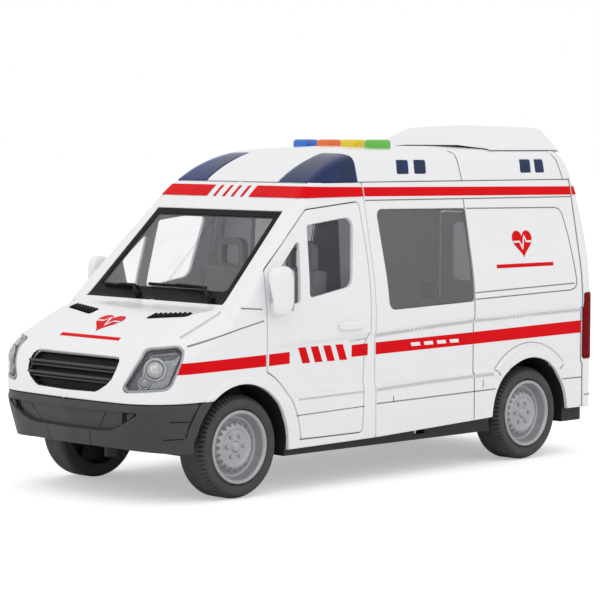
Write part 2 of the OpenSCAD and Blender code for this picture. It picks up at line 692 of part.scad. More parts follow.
// Wheels
hub_in = well_in + 0.6;
module axle(x) color("silver") translate([x, 0, axle_z]) rod(axle_r, -wheel_out + 5, wheel_out - 5);
module front_axle() axle(front_x);
module rear_axle() axle(rear_x);
trim_depth = 5;
module tyre(x) color("#2b2c2e") translate([x, 0, axle_z]) {
    difference() {
        rotate([-90, 0, 0]) rotate_extrude($fn = 96) polygon(rounded([[rim_r + 0.05, wheel_out - trim_depth, 0],
            [axle_r + 0.02, wheel_out - trim_depth, 0], [axle_r + 0.02, hub_in, 0], [axle_r + 3, hub_in, 0],
            [axle_r + 3, wheel_out - trim_depth - 2, 0], [rim_r, wheel_out - trim_depth - 2, 0], [rim_r, wheel_in, 0],
            [tyre_r - 0.8, wheel_in, 0], [tyre_r, wheel_in + 1.2, 1], [tyre_r, wheel_out - 2.4, 1.2],
            [tyre_r - 1.6, wheel_out, 0.8], [rim_r + 0.05, wheel_out, 0]]));
        for (i = [0:35]) rotate([0, 10 * i, 0])
            block([tyre_r - 0.9, wheel_out - 3, -0.45], [tyre_r + 1, wheel_out + 1, 0.45]);
    }
    for (i = [0:5]) rotate([0, 60 * i, 0])
        block([axle_r + 2.6, wheel_in + 2, -0.6], [rim_r + 0.3, wheel_out - trim_depth - 1.6, 0.6]);
}
module rim(x) color("silver") translate([x, 0, axle_z]) difference() {
    rotate([-90, 0, 0]) rotate_extrude($fn = 96) polygon(rounded([[0, wheel_out - trim_depth + 0.05, 0],
        [rim_r, wheel_out - trim_depth + 0.05, 0], [rim_r, wheel_out - 0.2, 0.6], [rim_r - 1.6, wheel_out - 0.2, 0.6],
        [rim_r - 2.4, wheel_out - 2.6, 1], [rim_r - 6, wheel_out - 1.2, 2], [4.6, wheel_out - 1.8, 1],
        [4, wheel_out - 0.4, 0.8], [0, wheel_out - 0.2, 0]]));
    for (i = [0:19]) rotate([0, 18 * i, 0]) translate([rim_r - 3.6, wheel_out - 3.6, 0]) rotate([-90, 0, 0])
        cylinder(r = 0.9, h = 5);
    rod(axle_r + 0.02, 0, wheel_out - 4.9);
}
module right_side() mirror([0, 1, 0]) children();
module front_tyre_left() tyre(front_x);
module front_tyre_right() right_side() tyre(front_x);
module front_rim_left() rim(front_x);
module front_rim_right() right_side() rim(front_x);
module rear_tyre_left() tyre(rear_x);
module rear_tyre_right() right_side() tyre(rear_x);
module rear_rim_left() rim(rear_x);
module rear_rim_right() right_side() rim(rear_x);

// Cab doors and mirrors
handle_z = belt_z - 12.6;
module cab_door() {
    difference() {
        intersection() {
            shell(0, wall);
            door_area(0);
        }
        from_side(0, big) polygon(path(window_corners));
        from_side(0, big) polygon(path(quarter_corners));
        block([hinge_x, 0, 0], [big, big, knuckle_z - door_gap]);
        hinge_rod(wall + door_gap, 0, barrel_z);
        block([hinge_x - wall / 2 - 0.6, 0, knuckle_z - door_gap],
            [big, big, knuckle_z + knuckle_h + door_gap]);
    }
    hinge_rod(wall / 2, barrel_z, knuckle_z - door_gap);
    block([door_rear_x + 5.4, hw - 0.6, handle_z], [door_rear_x + 20, hw + 0.8, handle_z + 2.6]);
    hinge_rod(peg_r, barrel_z - door_gap - peg_len, barrel_z + 0.1);
    hinge_rod(peg_r, knuckle_z - door_gap - 0.1, knuckle_z + knuckle_h - 0.4);
}
module front_door_left() color(white) cab_door();
module front_door_right() color(white) right_side() cab_door();
mirror_z = belt_z - 6;
mirror_h = 19.5;
mirror_reach = 7;
module door_mirror() translate([hinge_x, hw, mirror_z]) {
    difference() {
        linear_extrude(mirror_h) polygon(rounded([[-7.5, 2, 1], [-1, 1.6, 1], [3.4, 5, 0.8],
            [2.4, mirror_reach, 1.2], [-6.5, mirror_reach, 1]]));
        block([-20, 3, 2], [-6.6, mirror_reach - 1, mirror_h - 2]);
    }
    block([-7, 0.02, 0.5], [-2.4, 2.2, 3.4]);
}
module mirror_left() color(white) door_mirror();
module mirror_right() color(white) right_side() door_mirror();

// Rear doors with their glass
rear_window = [[8, belt_z - 3], [rear_door_hw - 7, rear_door_top - 5]];
module rear_window_area(g) block([tail_x - 5, rear_window[0].x - g, rear_window[0].y - g],
    [tail_x + 9, rear_window[1].x + g, rear_window[1].y + g]);
module rear_door() {
    difference() {
        union() {
            block([tail_x, door_gap / 2, rear_door_low], [tail_x + wall, rear_hinge_y, rear_door_top]);
            rear_hinge_rod(wall / 2, rear_door_low, rear_door_top);
        }
        rear_window_area(seam / 2);
        block([tail_x - 2, 8, rear_door_low + 8], [tail_x + 0.6, rear_door_hw - 7, belt_z - 24]);
    }
    block([tail_x, 9, belt_z - 32], [tail_x + 1, 20, belt_z - 29]);
    rear_hinge_rod(peg_r, rear_door_low - door_gap - peg_len, rear_door_top + door_gap + peg_len);
}
module rear_door_left() color(white) rear_door();
module rear_door_right() color(white) right_side() rear_door();
module rear_glass() intersection() {
    block([tail_x + 0.6, -big, 0], [tail_x + wall, big, big]);
    rear_window_area(0);
}
module rear_glass_left() color(clear) rear_glass();
module rear_glass_right() color(clear) right_side() rear_glass();

// Interior
deck_z = axle_z + well_r + well_t + 0.2;
deck_t = 2;
inside_fit = wall + 0.5;
deck_top = deck_z + deck_t;
module deck(x0, x1, fit) intersection() {
    block([x0, -big, deck_z], [x1, big, deck_top]);
    from_top(0, big) polygon(path(plan_corners, fit));
}
dash_x = screen_x - 20;
module cab_tub() color("#6a6d72") {
    deck(cab_x + 1, screen_x - 4, wall + 1.8);
    from_side(-hw + 8, hw - 8) polygon(rounded([[dash_x, deck_top - 0.5, 0], [screen_x - 5, deck_top - 0.5, 0],
        [screen_x - 5, bonnet_z - 5, 2], [dash_x + 6, bonnet_z - 3, 3], [dash_x, bonnet_z - 10, 3]]));
}
steer_y = 21;
steer_r = 9;
column_len = 9.95;
module steering_wheel() color("#2b2d30") translate([dash_x - 8, steer_y, bonnet_z - 4]) rotate([0, -65, 0]) {
    rotate_extrude() translate([steer_r, 0]) circle(r = 1.1);
    for (a = [90, 210, 330]) rotate([0, 0, a]) translate([0, -1, -0.6]) cube([steer_r, 2, 1.2]);
    cylinder(r = 2.4, h = 1.6, center = true);
    translate([0, 0, -column_len]) cylinder(r = 1.3, h = column_len);
}
seat_x = cab_x + 14;
module seat() translate([seat_x, 0, deck_top]) {
    block([0, -12, 0], [25, 12, 10]);
    from_side(-12, 12) polygon(rounded([[-1, 8, 0], [8, 8, 0], [3.5, 37, 2], [-3.5, 37, 2]]));
    from_front(-2.2, 0.8) difference() {
        polygon(rounded([[-8, 36, 0], [8, 36, 0], [8, 49, 4], [-8, 49, 4]]));
        polygon(rounded([[-5, 38, 1], [5, 38, 1], [5, 46, 2], [-5, 46, 2]]));
    }
}
module cab_seats() color("#74777c") for (y = [-steer_y, steer_y]) translate([0, y, 0]) seat();
bulkhead_x = cab_x - 5;
module bulkhead() color("#8a8d92") difference() {
    intersection() {
        body_solid(inside_fit);
        block([bulkhead_x, -big, deck_top], [bulkhead_x + wall, big, drip_z]);
    }
    from_front(-big, big) polygon(rounded([[-28, belt_z - 3, 4], [28, belt_z - 3, 4],
        [26, drip_z - 14, 4], [-26, drip_z - 14, 4]]));
}
module rear_deck() color("#8a8d92") difference() {
    deck(corner_x + 1, cab_x - 0.4, inside_fit);
    for (y = [-lead_y, lead_y]) translate([lead_x, y, 0]) cylinder(r = lead_r + 0.5, h = big);
}
couch_y = -26;
module treatment_couch() color("white") translate([0, couch_y, deck_top]) {
    for (x = [corner_x + 26, bulkhead_x - 24]) block([x - 3, -11, 0], [x + 3, 11, 10]);
    block([corner_x + 14, -13, 9], [bulkhead_x - 12, 13, 13]);
    block([corner_x + 15, -12, 13], [bulkhead_x - 42, 12, 17]);
    from_side(-12, 12) polygon([[bulkhead_x - 41, 13], [bulkhead_x - 13, 13], [bulkhead_x - 13, 30], [bulkhead_x - 16, 31],
        [bulkhead_x - 38, 17], [bulkhead_x - 41, 17]]);
}

// Sound unit under the roof
board_z = roof_h - 11.6;
board_t = 1.2;
stem_r = 1.6;
flange_t = 1;
flange_w = 1.2;
board_post_r = 1.8;
board_post_y = button_y[3] + button_w / 2 + flange_w + 0.5 + board_post_r;
roof_under = roof_h - wall - 0.8;
module sound_board() color("#2f6b3a") {
    block([button_x - 9, -board_post_y - 2, board_z], [button_x + 9, board_post_y + 2, board_z + board_t]);
    for (y = [-board_post_y, board_post_y]) translate([button_x, y, board_z + board_t])
        cylinder(r = board_post_r, h = roof_h - wall - 1.3 - board_z - board_t);
}
module switch_domes() color("silver") for (y = button_y) translate([button_x, y, board_z + board_t]) {
    block([-2.4, -2.4, 0], [2.4, 2.4, 1.2]);
    cylinder(r = 1.4, h = 1.7);
}
module sound_button(y) translate([button_x, y, 0]) {
    block([-button_l / 2, -button_w / 2, roof_under - 0.4], [button_l / 2, button_w / 2, roof_h - 0.6 + button_rise]);
    block([-button_l / 2 - flange_w, -button_w / 2 - flange_w, roof_under - 0.4 - flange_t],
        [button_l / 2 + flange_w, button_w / 2 + flange_w, roof_under - 0.4]);
    translate([0, 0, board_z + board_t + 1.8 + button_travel])
        cylinder(r = stem_r, h = roof_under - 1 - board_z - board_t - 1.8 - button_travel);
}
module sound_button_blue() color("#1f3f8f") sound_button(button_y[0]);
module sound_button_orange() color("#e0701c") sound_button(button_y[1]);
module sound_button_yellow() color("#e8c52a") sound_button(button_y[2]);
module sound_button_green() color("#2f9a48") sound_button(button_y[3]);

// Battery leads: up the bulkhead from the battery box to the sound board
lead_r = 0.7;
lead_y = 5;
lead_sides = 8;
lead_x = bulkhead_x - lead_r - 0.2;
function lead_route(y) = [[box_x, y, box_top - 0.3], [box_x, y, box_top + 6], [box_x - 4, y, deck_z - 5],
    [lead_x + 5, y, deck_z - 4], [lead_x, y, deck_z - 1], [lead_x, y, deck_top + 2], [lead_x, y, belt_z - 10],
    [lead_x, y * 6.2, belt_z], [lead_x, y * 6.2, drip_z - 12], [lead_x, y, drip_z - 5], [lead_x - 2, y, board_z - 3],
    [button_x + 6, y, board_z - 3], [button_x + 4, y, board_z - 0.5]];
function ring(p, t) = let (s = abs(t.y) > 0.9 ? [1, 0, 0] : [0, 1, 0], a = unit(cross(t, s)), b = cross(t, a))
    [for (i = [0:lead_sides - 1]) p + lead_r * (a * cos(360 * i / lead_sides) + b * sin(360 * i / lead_sides))];
module lead(y) {
    route = lead_route(y);
    n = len(route);
    rings = [for (i = [0:n - 1]) each ring(route[i], unit(route[min(n - 1, i + 1)] - route[max(0, i - 1)]))];
    ends = [[for (i = [0:lead_sides - 1]) i], [for (i = [lead_sides - 1:-1:0]) (n - 1) * lead_sides + i]];
    sides = [for (k = [0:n - 2]) for (i = [0:lead_sides - 1]) let (j = (i + 1) % lead_sides, a = k * lead_sides)
        each [[a + j, a + i, a + lead_sides + i], [a + j, a + lead_sides + i, a + lead_sides + j]]];
    polyhedron(rings, concat(ends, sides));
}
module battery_leads() color("#a01818") for (y = [-lead_y, lead_y]) lead(y);

cab_shell();
side_panel_left();
side_panel_right();
rear_frame();
roof_shell();
roof_fairing();
front_bumper();
chassis_pan();
windscreen();
windscreen_surround();
wipers();
bonnet_vents();
grille();
headlight_reflectors();
headlight_lenses();
beacon_lenses();
beacon_lamps();
roof_window_lenses();
side_windows();
tail_lights();
cab_tub();
steering_wheel();
cab_seats();
bulkhead();
rear_deck();
treatment_couch();
sound_board();
switch_domes();
speaker();
battery_cells();
battery_cover();
battery_leads();
case_screws();
gearbox_case();
front_axle();
front_tyre_left();
front_tyre_right();
front_rim_left();
front_rim_right();
rear_axle();
rear_tyre_left();
rear_tyre_right();
rear_rim_left();
rear_rim_right();
axle_gear();
idler_gear();
flywheel();
front_door_left();
front_door_right();
mirror_left();
mirror_right();
rear_door_left();
rear_door_right();
rear_glass_left();
rear_glass_right();
sound_button_blue();
sound_button_orange();
sound_button_yellow();
sound_button_green();
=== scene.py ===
import math

import bpy
import numpy as np
from bpy.props import FloatProperty, FloatVectorProperty, IntProperty
from mathutils import Matrix
from mathutils.geometry import delaunay_2d_cdt


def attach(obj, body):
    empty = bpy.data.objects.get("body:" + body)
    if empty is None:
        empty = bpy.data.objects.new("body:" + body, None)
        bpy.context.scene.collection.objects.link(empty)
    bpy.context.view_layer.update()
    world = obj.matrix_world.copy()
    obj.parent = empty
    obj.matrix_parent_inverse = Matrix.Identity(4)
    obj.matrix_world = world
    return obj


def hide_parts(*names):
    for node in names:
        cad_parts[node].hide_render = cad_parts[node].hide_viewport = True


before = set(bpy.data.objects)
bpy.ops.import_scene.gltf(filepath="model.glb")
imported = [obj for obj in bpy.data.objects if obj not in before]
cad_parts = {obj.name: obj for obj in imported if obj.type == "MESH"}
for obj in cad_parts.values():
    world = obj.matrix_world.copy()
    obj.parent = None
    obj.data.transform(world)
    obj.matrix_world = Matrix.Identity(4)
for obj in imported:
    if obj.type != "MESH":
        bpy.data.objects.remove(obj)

bl_info = {
    "name": "Toy ambulance looks",
    "version": (1, 0, 0),
    "blender": (4, 5, 0),
    "location": "View3D > Sidebar > Ambulance",
    "description": "Builds the visible skins, lenses, wheels and prints of a toy ambulance around its solid frame",
    "category": "Object",
}

# Sizes in millimetres: x runs to the nose, y to the left side, z up
MM = 0.001
HW = 51.2  # half width of the body
NOSE = 132.5
TAIL = -132.5
FRONT_X = 82.7  # axles and wheel arches
REAR_X = -89.3
AXLE_Z = 20.3
ARCH_R = 24.7
TURN_X = 100.0  # beyond this x the wall coordinate u goes round the ends
NOSE_ARC = 75.0
TAIL_ARC = 78.0
FRONT_MID = TURN_X + NOSE_ARC  # u of the middle plane at both ends
REAR_MID = -TURN_X - TAIL_ARC
DRIP = 122.4  # seam below the roof
SEAM_F = 8.3  # seams before and behind the side panel
SEAM_R = -125.2
HALF_GAP = 0.15  # half the gap of a seam
SILL = 20.6  # lower edge of the box
CORNER_R = 21  # rounding of the front corners
PRINT = 0.07  # height of a print above its skin
FAR = 1e9  # beyond any distance in the van
MIDDLE = np.array([0.0, 0.0, 60.0])  # a point inside, to tell which way is out
SHARP = 0.05  # a corner of a smaller radius stays sharp
ARC_STEP = 0.16  # radians between the points of a corner

# Corners of the side outline (x, z) from the grille to the tail, and of the cross-section (y, z)
GRILLE_LOW, NOSE_TOP, BONNET, SCUTTLE = (130.3, 43.3), (126.1, 56.9), (104.5, 70.7), (85.9, 74.3)
HEADER, ROOF_FRONT, ROOF_REAR = (36.6, 123.6), (7.8, 137.5), (-123.3, 137.5)
REAR_TOP, TAIL_TOP = (-129.3, 123.4), (TAIL, 109.4)
BELT, EAVE, ROOF_EDGE, CROWN = (HW, 77), (42.4, DRIP), (38.8, 135.6), (12, 137.8)
BELT_CREASE = [-125, -51, 8, 70], [64.3, 62.5, 59.5, 57]  # creases along the side, as u and z
SILL_CREASE = [-127, -52, 15, 55], [40.2, 39.6, 39.1, 38.2]
# Flat that cuts the wing below the screen: a point and its direction
WING_AT, WING_WAY = (85.9, 46, 74.2), (0.358, 0.568, 0.741)


def cols(*values):
    """Points from their coordinates, one column each."""
    return np.stack(values, -1)


def chain(*lists):
    """Lists of points one after the other."""
    return np.concatenate(lists)


# Skin of the body: a smooth intersection of slanted walls

def smax(a, b, k):
    """Larger of two fields, rounded over the width k where they meet."""
    return np.maximum(a, b) + np.maximum(k - np.abs(a - b), 0) ** 2 / (4 * k)


def wall(a, b, p, q):
    """Signed distance from the line p to q, positive on its right."""
    dx, dy = q[0] - p[0], q[1] - p[1]
    n = math.hypot(dx, dy)
    return ((a - p[0]) * dy - (b - p[1]) * dx) / n


def plan_field(x, y):
    """Front wall in plan: a flat nose and a swept corner."""
    return smax(x - NOSE, wall(x, y, (NOSE, 13), (126.3, HW)), 5)


def body_field(p):
    """Body skin: side, section and plan walls joined with rounded edges; negative inside."""
    x, y, z = p[..., 0], np.abs(p[..., 1]), p[..., 2]
    s = smax(wall(x, z, GRILLE_LOW, NOSE_TOP), wall(x, z, NOSE_TOP, BONNET), 9)
    s = smax(s, wall(x, z, BONNET, SCUTTLE), 5)
    s = -smax(-s, -wall(x, z, SCUTTLE, HEADER), 2.5)
    s = smax(s, wall(x, z, HEADER, ROOF_FRONT), 4)
    s = smax(s, z - ROOF_FRONT[1], 9)
    s = smax(s, wall(x, z, ROOF_REAR, REAR_TOP), 3)
    s = smax(s, wall(x, z, REAR_TOP, TAIL_TOP), 3)
    s = smax(s, TAIL - x, 3)
    c = smax(y - HW, wall(y, z, BELT, EAVE), 2)
    c = smax(c, wall(y, z, EAVE, ROOF_EDGE), 0.6)
    c = smax(c, wall(y, z, ROOF_EDGE, CROWN), 6)
    f = smax(s, smax(plan_field(x, y), c, CORNER_R), 4)
    wing = sum(k * (v - v0) for k, v, v0 in zip(WING_WAY, (x, y, z), WING_AT))
    return smax(f, wing - 1.2 * np.maximum(0, 88 - x), 2.5)


def bumper_field(p):
    """Bumper skin: the plan wall, tucked in towards its lower edge and rolled in at its top."""
    x, y, z = p[..., 0], np.abs(p[..., 1]), p[..., 2]
    tuck = 0.3165 * smax(35.3 - z, 0 * z, 3)
    w = smax(plan_field(x, y) + tuck, y - HW, CORNER_R)
    roll = (w + 1.2 + (z - 40.2) * 0.9) * 0.743
    return smax(w, roll, 1.5)


def unroll(p):
    """Point on the wall to (u, z): u runs along the side and round both ends."""
    x, y, z = p[..., 0], np.abs(p[..., 1]), p[..., 2]
    u = np.where(x > TURN_X, TURN_X + NOSE_ARC * np.arctan2(x - TURN_X, y) * 2 / np.pi, x)
    u = np.where(x < -TURN_X, -TURN_X - TAIL_ARC * np.arctan2(-TURN_X - x, y) * 2 / np.pi, u)
    return cols(u, z)


def halve(holds, lo, hi, rounds=30):
    """Largest values from lo to hi at which a test still holds, found by halving."""
    for _ in range(rounds):
        mid = (lo + hi) / 2
        ok = holds(mid)
        lo, hi = np.where(ok, mid, lo), np.where(ok, hi, mid)
    return lo


def cast(field, org, ray, far):
    """Last point of each ray before the field turns positive."""
    n = len(org)
    d = halve(lambda d: field(org + ray * d[:, None]) < 0, np.zeros(n), np.full(n, float(far)), 34)
    return org + ray * d[:, None]


def wall_point(q, field=body_field):
    """Point of the wall at (u, z): a level ray from the middle of the van."""
    u, z = q[:, 0], q[:, 1]
    turn = np.where(u > TURN_X, (u - TURN_X) / NOSE_ARC, np.where(u < -TURN_X, (u + TURN_X) / TAIL_ARC, 0))
    phi = turn * np.pi / 2
    org = cols(np.clip(u, -TURN_X, TURN_X), 0 * u, z)
    ray = cols(np.sin(phi), np.cos(phi), 0 * u)
    return cast(field, org, ray, 90)


def bumper_point(q):
    """Point of the bumper at (u, z), with a raised band round the wheel arch."""
    p = wall_point(q, bumper_field)
    r = np.hypot(q[:, 0] - FRONT_X, q[:, 1] - AXLE_Z)
    p[:, 1] += 0.7 * step((ARCH_R + 3.8 - r) / 0.7) * step((q[:, 1] - 25) / 1.5)
    return p


def floor_point(q):
    """Point of the nearly level underside of the bumper below (x, y)."""
    return cols(q[:, 0], q[:, 1], np.interp(q[:, 0], [107, 128], [20.2, 21.9]))


def top_point(q):
    """Point of the bonnet, windscreen or roof above (x, y)."""
    org = cols(q[:, 0], q[:, 1], np.full(len(q), 30.0))
    return cast(body_field, org, np.tile([0.0, 0.0, 1.0], (len(q), 1)), 120)


def step(a):
    """Smooth rise from 0 to 1."""
    a = np.clip(a, 0, 1)
    return a * a * (3 - 2 * a)


def relief(u, z):
    """Moulded relief of the side: a shallow band between two creases, and arch flares."""
    low, high = np.interp(u, *SILL_CREASE), np.interp(u, *BELT_CREASE)
    ends = step((u + 128) / 4) * step((72 - u) / 16)
    out = -0.9 * step((z - low) / 1.4) * step((high - z) / 2.2 + 1) * ends
    for cx, width, rise, floor in ((REAR_X, 6.4, 1.1, 36), (FRONT_X, 3.4, 0.7, 30)):
        r = np.hypot(u - cx, z - AXLE_Z)
        ring = step((ARCH_R + width - r) / 1.6) * step((z - floor) / 8)
        out = out * (1 - ring) + rise * ring
    return out


def relief_points(a, b):
    """Points along the creases and flares of the relief between two u."""
    u = np.arange(a, b, 2.4)
    pts = [cols(u, np.interp(u, *BELT_CREASE) + k) for k in (0, 1.1, 2.3)]
    pts += [cols(u, np.interp(u, *SILL_CREASE) + k) for k in (0, 1.4)]
    for cx, radii in ((REAR_X, (29.4, 30.3, 31.2)), (FRONT_X, (26.4, 27.3, 28.2))):
        pts += [arc(cx, AXLE_Z, r, 195, -15, 70) for r in radii]
    return np.concatenate(pts)


def side_skin(q):
    """Wall with its relief pushed out sideways."""
    p = wall_point(q)
    p[:, 1] += np.where(np.abs(q[:, 0]) < TURN_X + 26, relief(q[:, 0], q[:, 1]), 0)
    return p


def unit(v):
    """Rows scaled to the length 1."""
    return v / np.maximum(np.linalg.norm(v, axis=1), 1e-9)[:, None]


def slopes(skin, q, h=0.2):
    """Differences of a skin across a small step h to each side, along both directions."""
    return skin(q + [h, 0]) - skin(q - [h, 0]), skin(q + [0, h]) - skin(q - [0, h])


# Outlines

def arc(cx, cy, r, a0, a1, n=40):
    """Points on a circular arc, angles in degrees."""
    t = np.radians(np.linspace(a0, a1, n))
    return cols(cx + r * np.cos(t), cy + r * np.sin(t))


def rounded(corners, grow=0.0):
    """Outline of anticlockwise corners (x, y, r) with arcs, pushed outwards by grow."""
    k = np.array([c[:2] for c in corners], float)
    n, out = len(k), []
    e = unit(np.roll(k, -1, 0) - k)
    for i in range(n):
        f, g = e[i - 1], e[i]
        a, b = np.array([f[1], -f[0]]), np.array([g[1], -g[0]])
        p = k[i] + (a + b) * grow / (1 + a @ b)
        bend = math.atan2(f[0] * g[1] - f[1] * g[0], f @ g)
        r = max(0.0, corners[i][2] + math.copysign(grow, bend)) if corners[i][2] else 0.0
        if r < SHARP:
            out.append(p)
            continue
        reach = r * math.tan(abs(bend) / 2)
        c = p - f * reach + np.array([-f[1], f[0]]) * math.copysign(r, bend)
        s = p - f * reach - c
        for t in np.linspace(0, bend, max(3, int(abs(bend) / ARC_STEP))):
            co, si = math.cos(t), math.sin(t)
            out.append(c + np.array([s[0] * co - s[1] * si, s[0] * si + s[1] * co]))
    return np.array(out)


def dense(loop, gap, closed=True):
    """Adds points so that no edge of a loop is longer than gap."""
    loop = np.asarray(loop, float)
    ends = np.roll(loop, -1, 0) if closed else loop[1:]
    out = []
    for a, b in zip(loop, ends):
        n = max(1, int(math.ceil(np.linalg.norm(b - a) / gap)))
        out.append(a + (b - a) * (np.arange(n) / n)[:, None])
    if not closed:
        out.append(loop[-1:])
    out = np.concatenate(out)
    keep = np.linalg.norm(out - np.roll(out, 1, 0), axis=1) > 1e-3
    return out[keep]


def inside(q, loop):
    """Even-odd test of points against a loop."""
    a, b = loop, np.roll(loop, -1, 0)
    hit = np.zeros(len(q), bool)
    for (x0, y0), (x1, y1) in zip(a, b):
        if y0 == y1:
            continue
        hit ^= ((y0 > q[:, 1]) != (y1 > q[:, 1])) & (q[:, 0] < (x1 - x0) * (q[:, 1] - y0) / (y1 - y0) + x0)
    return hit


def edge_distance(q, loops):
    """Distance from points to the nearest loop edge, and the direction to it."""
    best, way = np.full(len(q), FAR), np.zeros((len(q), 2))
    for loop in loops:
        for a, b in zip(loop, np.roll(loop, -1, 0)):
            e = b - a
            t = np.clip(((q - a) @ e) / (e @ e), 0, 1)
            v = a + t[:, None] * e - q
            d = np.linalg.norm(v, axis=1)
            m = d < best
            best[m], way[m] = d[m], v[m]
    return best, way / np.maximum(best, 1e-9)[:, None]


def patch(skin, outline, holes=(), pitch=2.5, lift=0.0, edge=0.0, thick=0.0, free=None, extra=None):
    """Panel of a skin cut to an outline, as (points, triangles, normals).
    The outline and rings inside it are meshed with a grid, each point is cast on the skin,
    edges are rounded off with a quarter circle of radius edge, and a back is added at thick.
    Extra points take the place of grid points along the relief."""
    fine = max(0.8, min(pitch, 1.6))
    loops = [dense(outline, fine)] + [dense(h, fine) for h in holes]
    pts, edges, n = [], [], 0
    for loop in loops:
        pts.append(loop)
        edges += [(n + i, n + (i + 1) % len(loop)) for i in range(len(loop))]
        n += len(loop)
    lo, hi = loops[0].min(0), loops[0].max(0)
    gx, gy = np.meshgrid(np.arange(lo[0] + pitch / 2, hi[0], pitch), np.arange(lo[1] + pitch / 2, hi[1], pitch))
    grid = cols(gx.ravel(), gy.ravel())

    def within(q):
        """True inside the outline and outside its holes."""
        m = inside(q, loops[0])
        for h in loops[1:]:
            m &= ~inside(q, h)
        return m

    grid = grid[within(grid)]
    d, _ = edge_distance(grid, loops)
    grid = grid[d > max(edge * 1.3, pitch * 0.45)]
    if extra is not None:
        more = extra[within(extra)]
        more = more[edge_distance(more, loops)[0] > max(0.6, edge * 1.3)]
        near = np.min(np.linalg.norm(grid[:, None] - more[None], axis=2), 1)
        grid = chain(grid[near > 0.8], more)
    rings = []
    if edge:
        for share in (0.3, 1.0):
            for loop in loops:
                t = unit(np.roll(loop, -1, 0) - np.roll(loop, 1, 0))
                for side in (1, -1):
                    ring = loop + cols(-t[:, 1], t[:, 0]) * side * edge * share
                    dist, _ = edge_distance(ring, loops)
                    rings.append(ring[within(ring) & (dist > edge * share * 0.96)])
    allp = np.concatenate(pts + rings + [grid])
    got = delaunay_2d_cdt([tuple(map(float, p)) for p in allp], edges, [], 0, 1e-6)
    q = np.array([tuple(v) for v in got[0]])
    tri = np.array(got[2])
    tri = tri[within(q[tri].mean(1))]
    used, tri = np.unique(tri, return_inverse=True)
    q, tri = q[used], tri.reshape(-1, 3)
    p = skin(q)
    du, dv = slopes(skin, q)
    nrm = unit(np.cross(du, dv))
    if np.sum(nrm * (p - MIDDLE)) < 0:
        nrm = -nrm
    a, b, c = p[tri[:, 0]], p[tri[:, 1]], p[tri[:, 2]]
    wrong = np.sum(np.cross(b - a, c - a) * nrm[tri[:, 0]], 1) < 0
    tri[wrong] = tri[wrong][:, ::-1]
    pairs = chain(tri[:, [0, 1]], tri[:, [1, 2]], tri[:, [2, 0]])
    _, first, count = np.unique(np.sort(pairs, 1), axis=0, return_index=True, return_counts=True)
    rim = pairs[first[count == 1]]
    out = np.zeros_like(p)
    off = np.cross(p[rim[:, 1]] - p[rim[:, 0]], nrm[rim[:, 0]])
    np.add.at(out, rim[:, 0], off)
    np.add.at(out, rim[:, 1], off)
    out = unit(out)
    p = p + nrm * lift
    front, drop = nrm, np.zeros((len(p), 1))
    if edge:
        d, way = edge_distance(q, loops)
        if free is not None:
            d = np.where(free(q), d, FAR)
        s = np.clip(1 - d / edge, 0, 1)[:, None]
        tan = unit(du * way[:, :1] + dv * way[:, 1:])
        tan = np.where(np.any(out != 0, 1)[:, None], out, tan)
        drop = edge * (1 - np.sqrt(np.maximum(0, 1 - s * s)))
        nrm = unit(nrm * np.sqrt(np.maximum(0.02, 1 - s * s)) + tan * s)
    p = p - front * drop
    if thick:
        m, e = len(p), np.unique(rim)
        at = np.zeros(m, int)
        at[e] = np.arange(len(e)) + 2 * m
        back = p - front * (thick - drop)
        r0, r1, k = at[rim[:, 0]], at[rim[:, 1]], len(e)
        sides = [cols(r1, r0, r0 + k), cols(r1, r0 + k, r1 + k)]
        tri = np.concatenate([tri, tri[:, ::-1] + m] + sides)
        p = chain(p, back, p[e], back[e])
        nrm = chain(nrm, -front, out[e], out[e])
    return p, tri, nrm


def join(*parts):
    """Joins parts; the whole has normals of its own only if all parts have them."""
    ps, ts, ms = zip(*parts)
    starts = np.cumsum([0] + [len(p) for p in ps])
    tri = np.concatenate([np.asarray(t) + n for t, n in zip(ts, starts)])
    return np.concatenate(ps), tri, None if any(m is None for m in ms) else np.concatenate(ms)


def other_side(part):
    """Mirror image across the middle of the van."""
    p, t, m = part
    return p * [1, -1, 1], t[:, ::-1], None if m is None else m * [1, -1, 1]


def both(part):
    """A part with its mirror image."""
    return join(part, other_side(part))


SIDES = (("left", lambda part: part), ("right", other_side))


def place(name, part, finish, body="body", nodes=()):
    """Makes one object from points in millimetres, with its own normals if it has them, riding a body."""
    p, t, m = part
    mesh = bpy.data.meshes.new(name)
    mesh.from_pydata((p * MM).tolist(), [], np.asarray(t).tolist())
    mesh.polygons.foreach_set("use_smooth", [True] * len(mesh.polygons))
    mesh.materials.append(finish_of(finish))
    if m is not None:
        mesh.normals_split_custom_set_from_vertices(m.tolist())
    mesh.update()
    ob = bpy.data.objects.new(name, mesh)
    bpy.context.scene.collection.objects.link(ob)
    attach(ob, body)
    if nodes:
        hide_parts(*nodes)


def panels(name, skin, outlines, pitch, lift, edge, thick, finish, nodes=()):
    """Places plain panels of a skin and their mirror images as one piece."""
    parts = [patch(skin, k, (), pitch, lift, edge, thick) for k in outlines]
    place(name, both(join(*parts)), finish, nodes=nodes)


def grid_part(p, close_u=False, close_v=False):
    """Turns an array of points [u, v, 3] into a part without normals of its own."""
    nu, nv = p.shape[:2]
    iu = np.arange(nu if close_u else nu - 1)
    iv = np.arange(nv if close_v else nv - 1)
    a, b = np.meshgrid(iu, iv, indexing="ij")
    a, b = a.ravel(), b.ravel()
    c, d = (a + 1) % nu, (b + 1) % nv
    quad = cols(a * nv + b, c * nv + b, c * nv + d, a * nv + d)
    tri = chain(quad[:, [0, 1, 2]], quad[:, [0, 2, 3]])
    return p.reshape(-1, 3), tri, None


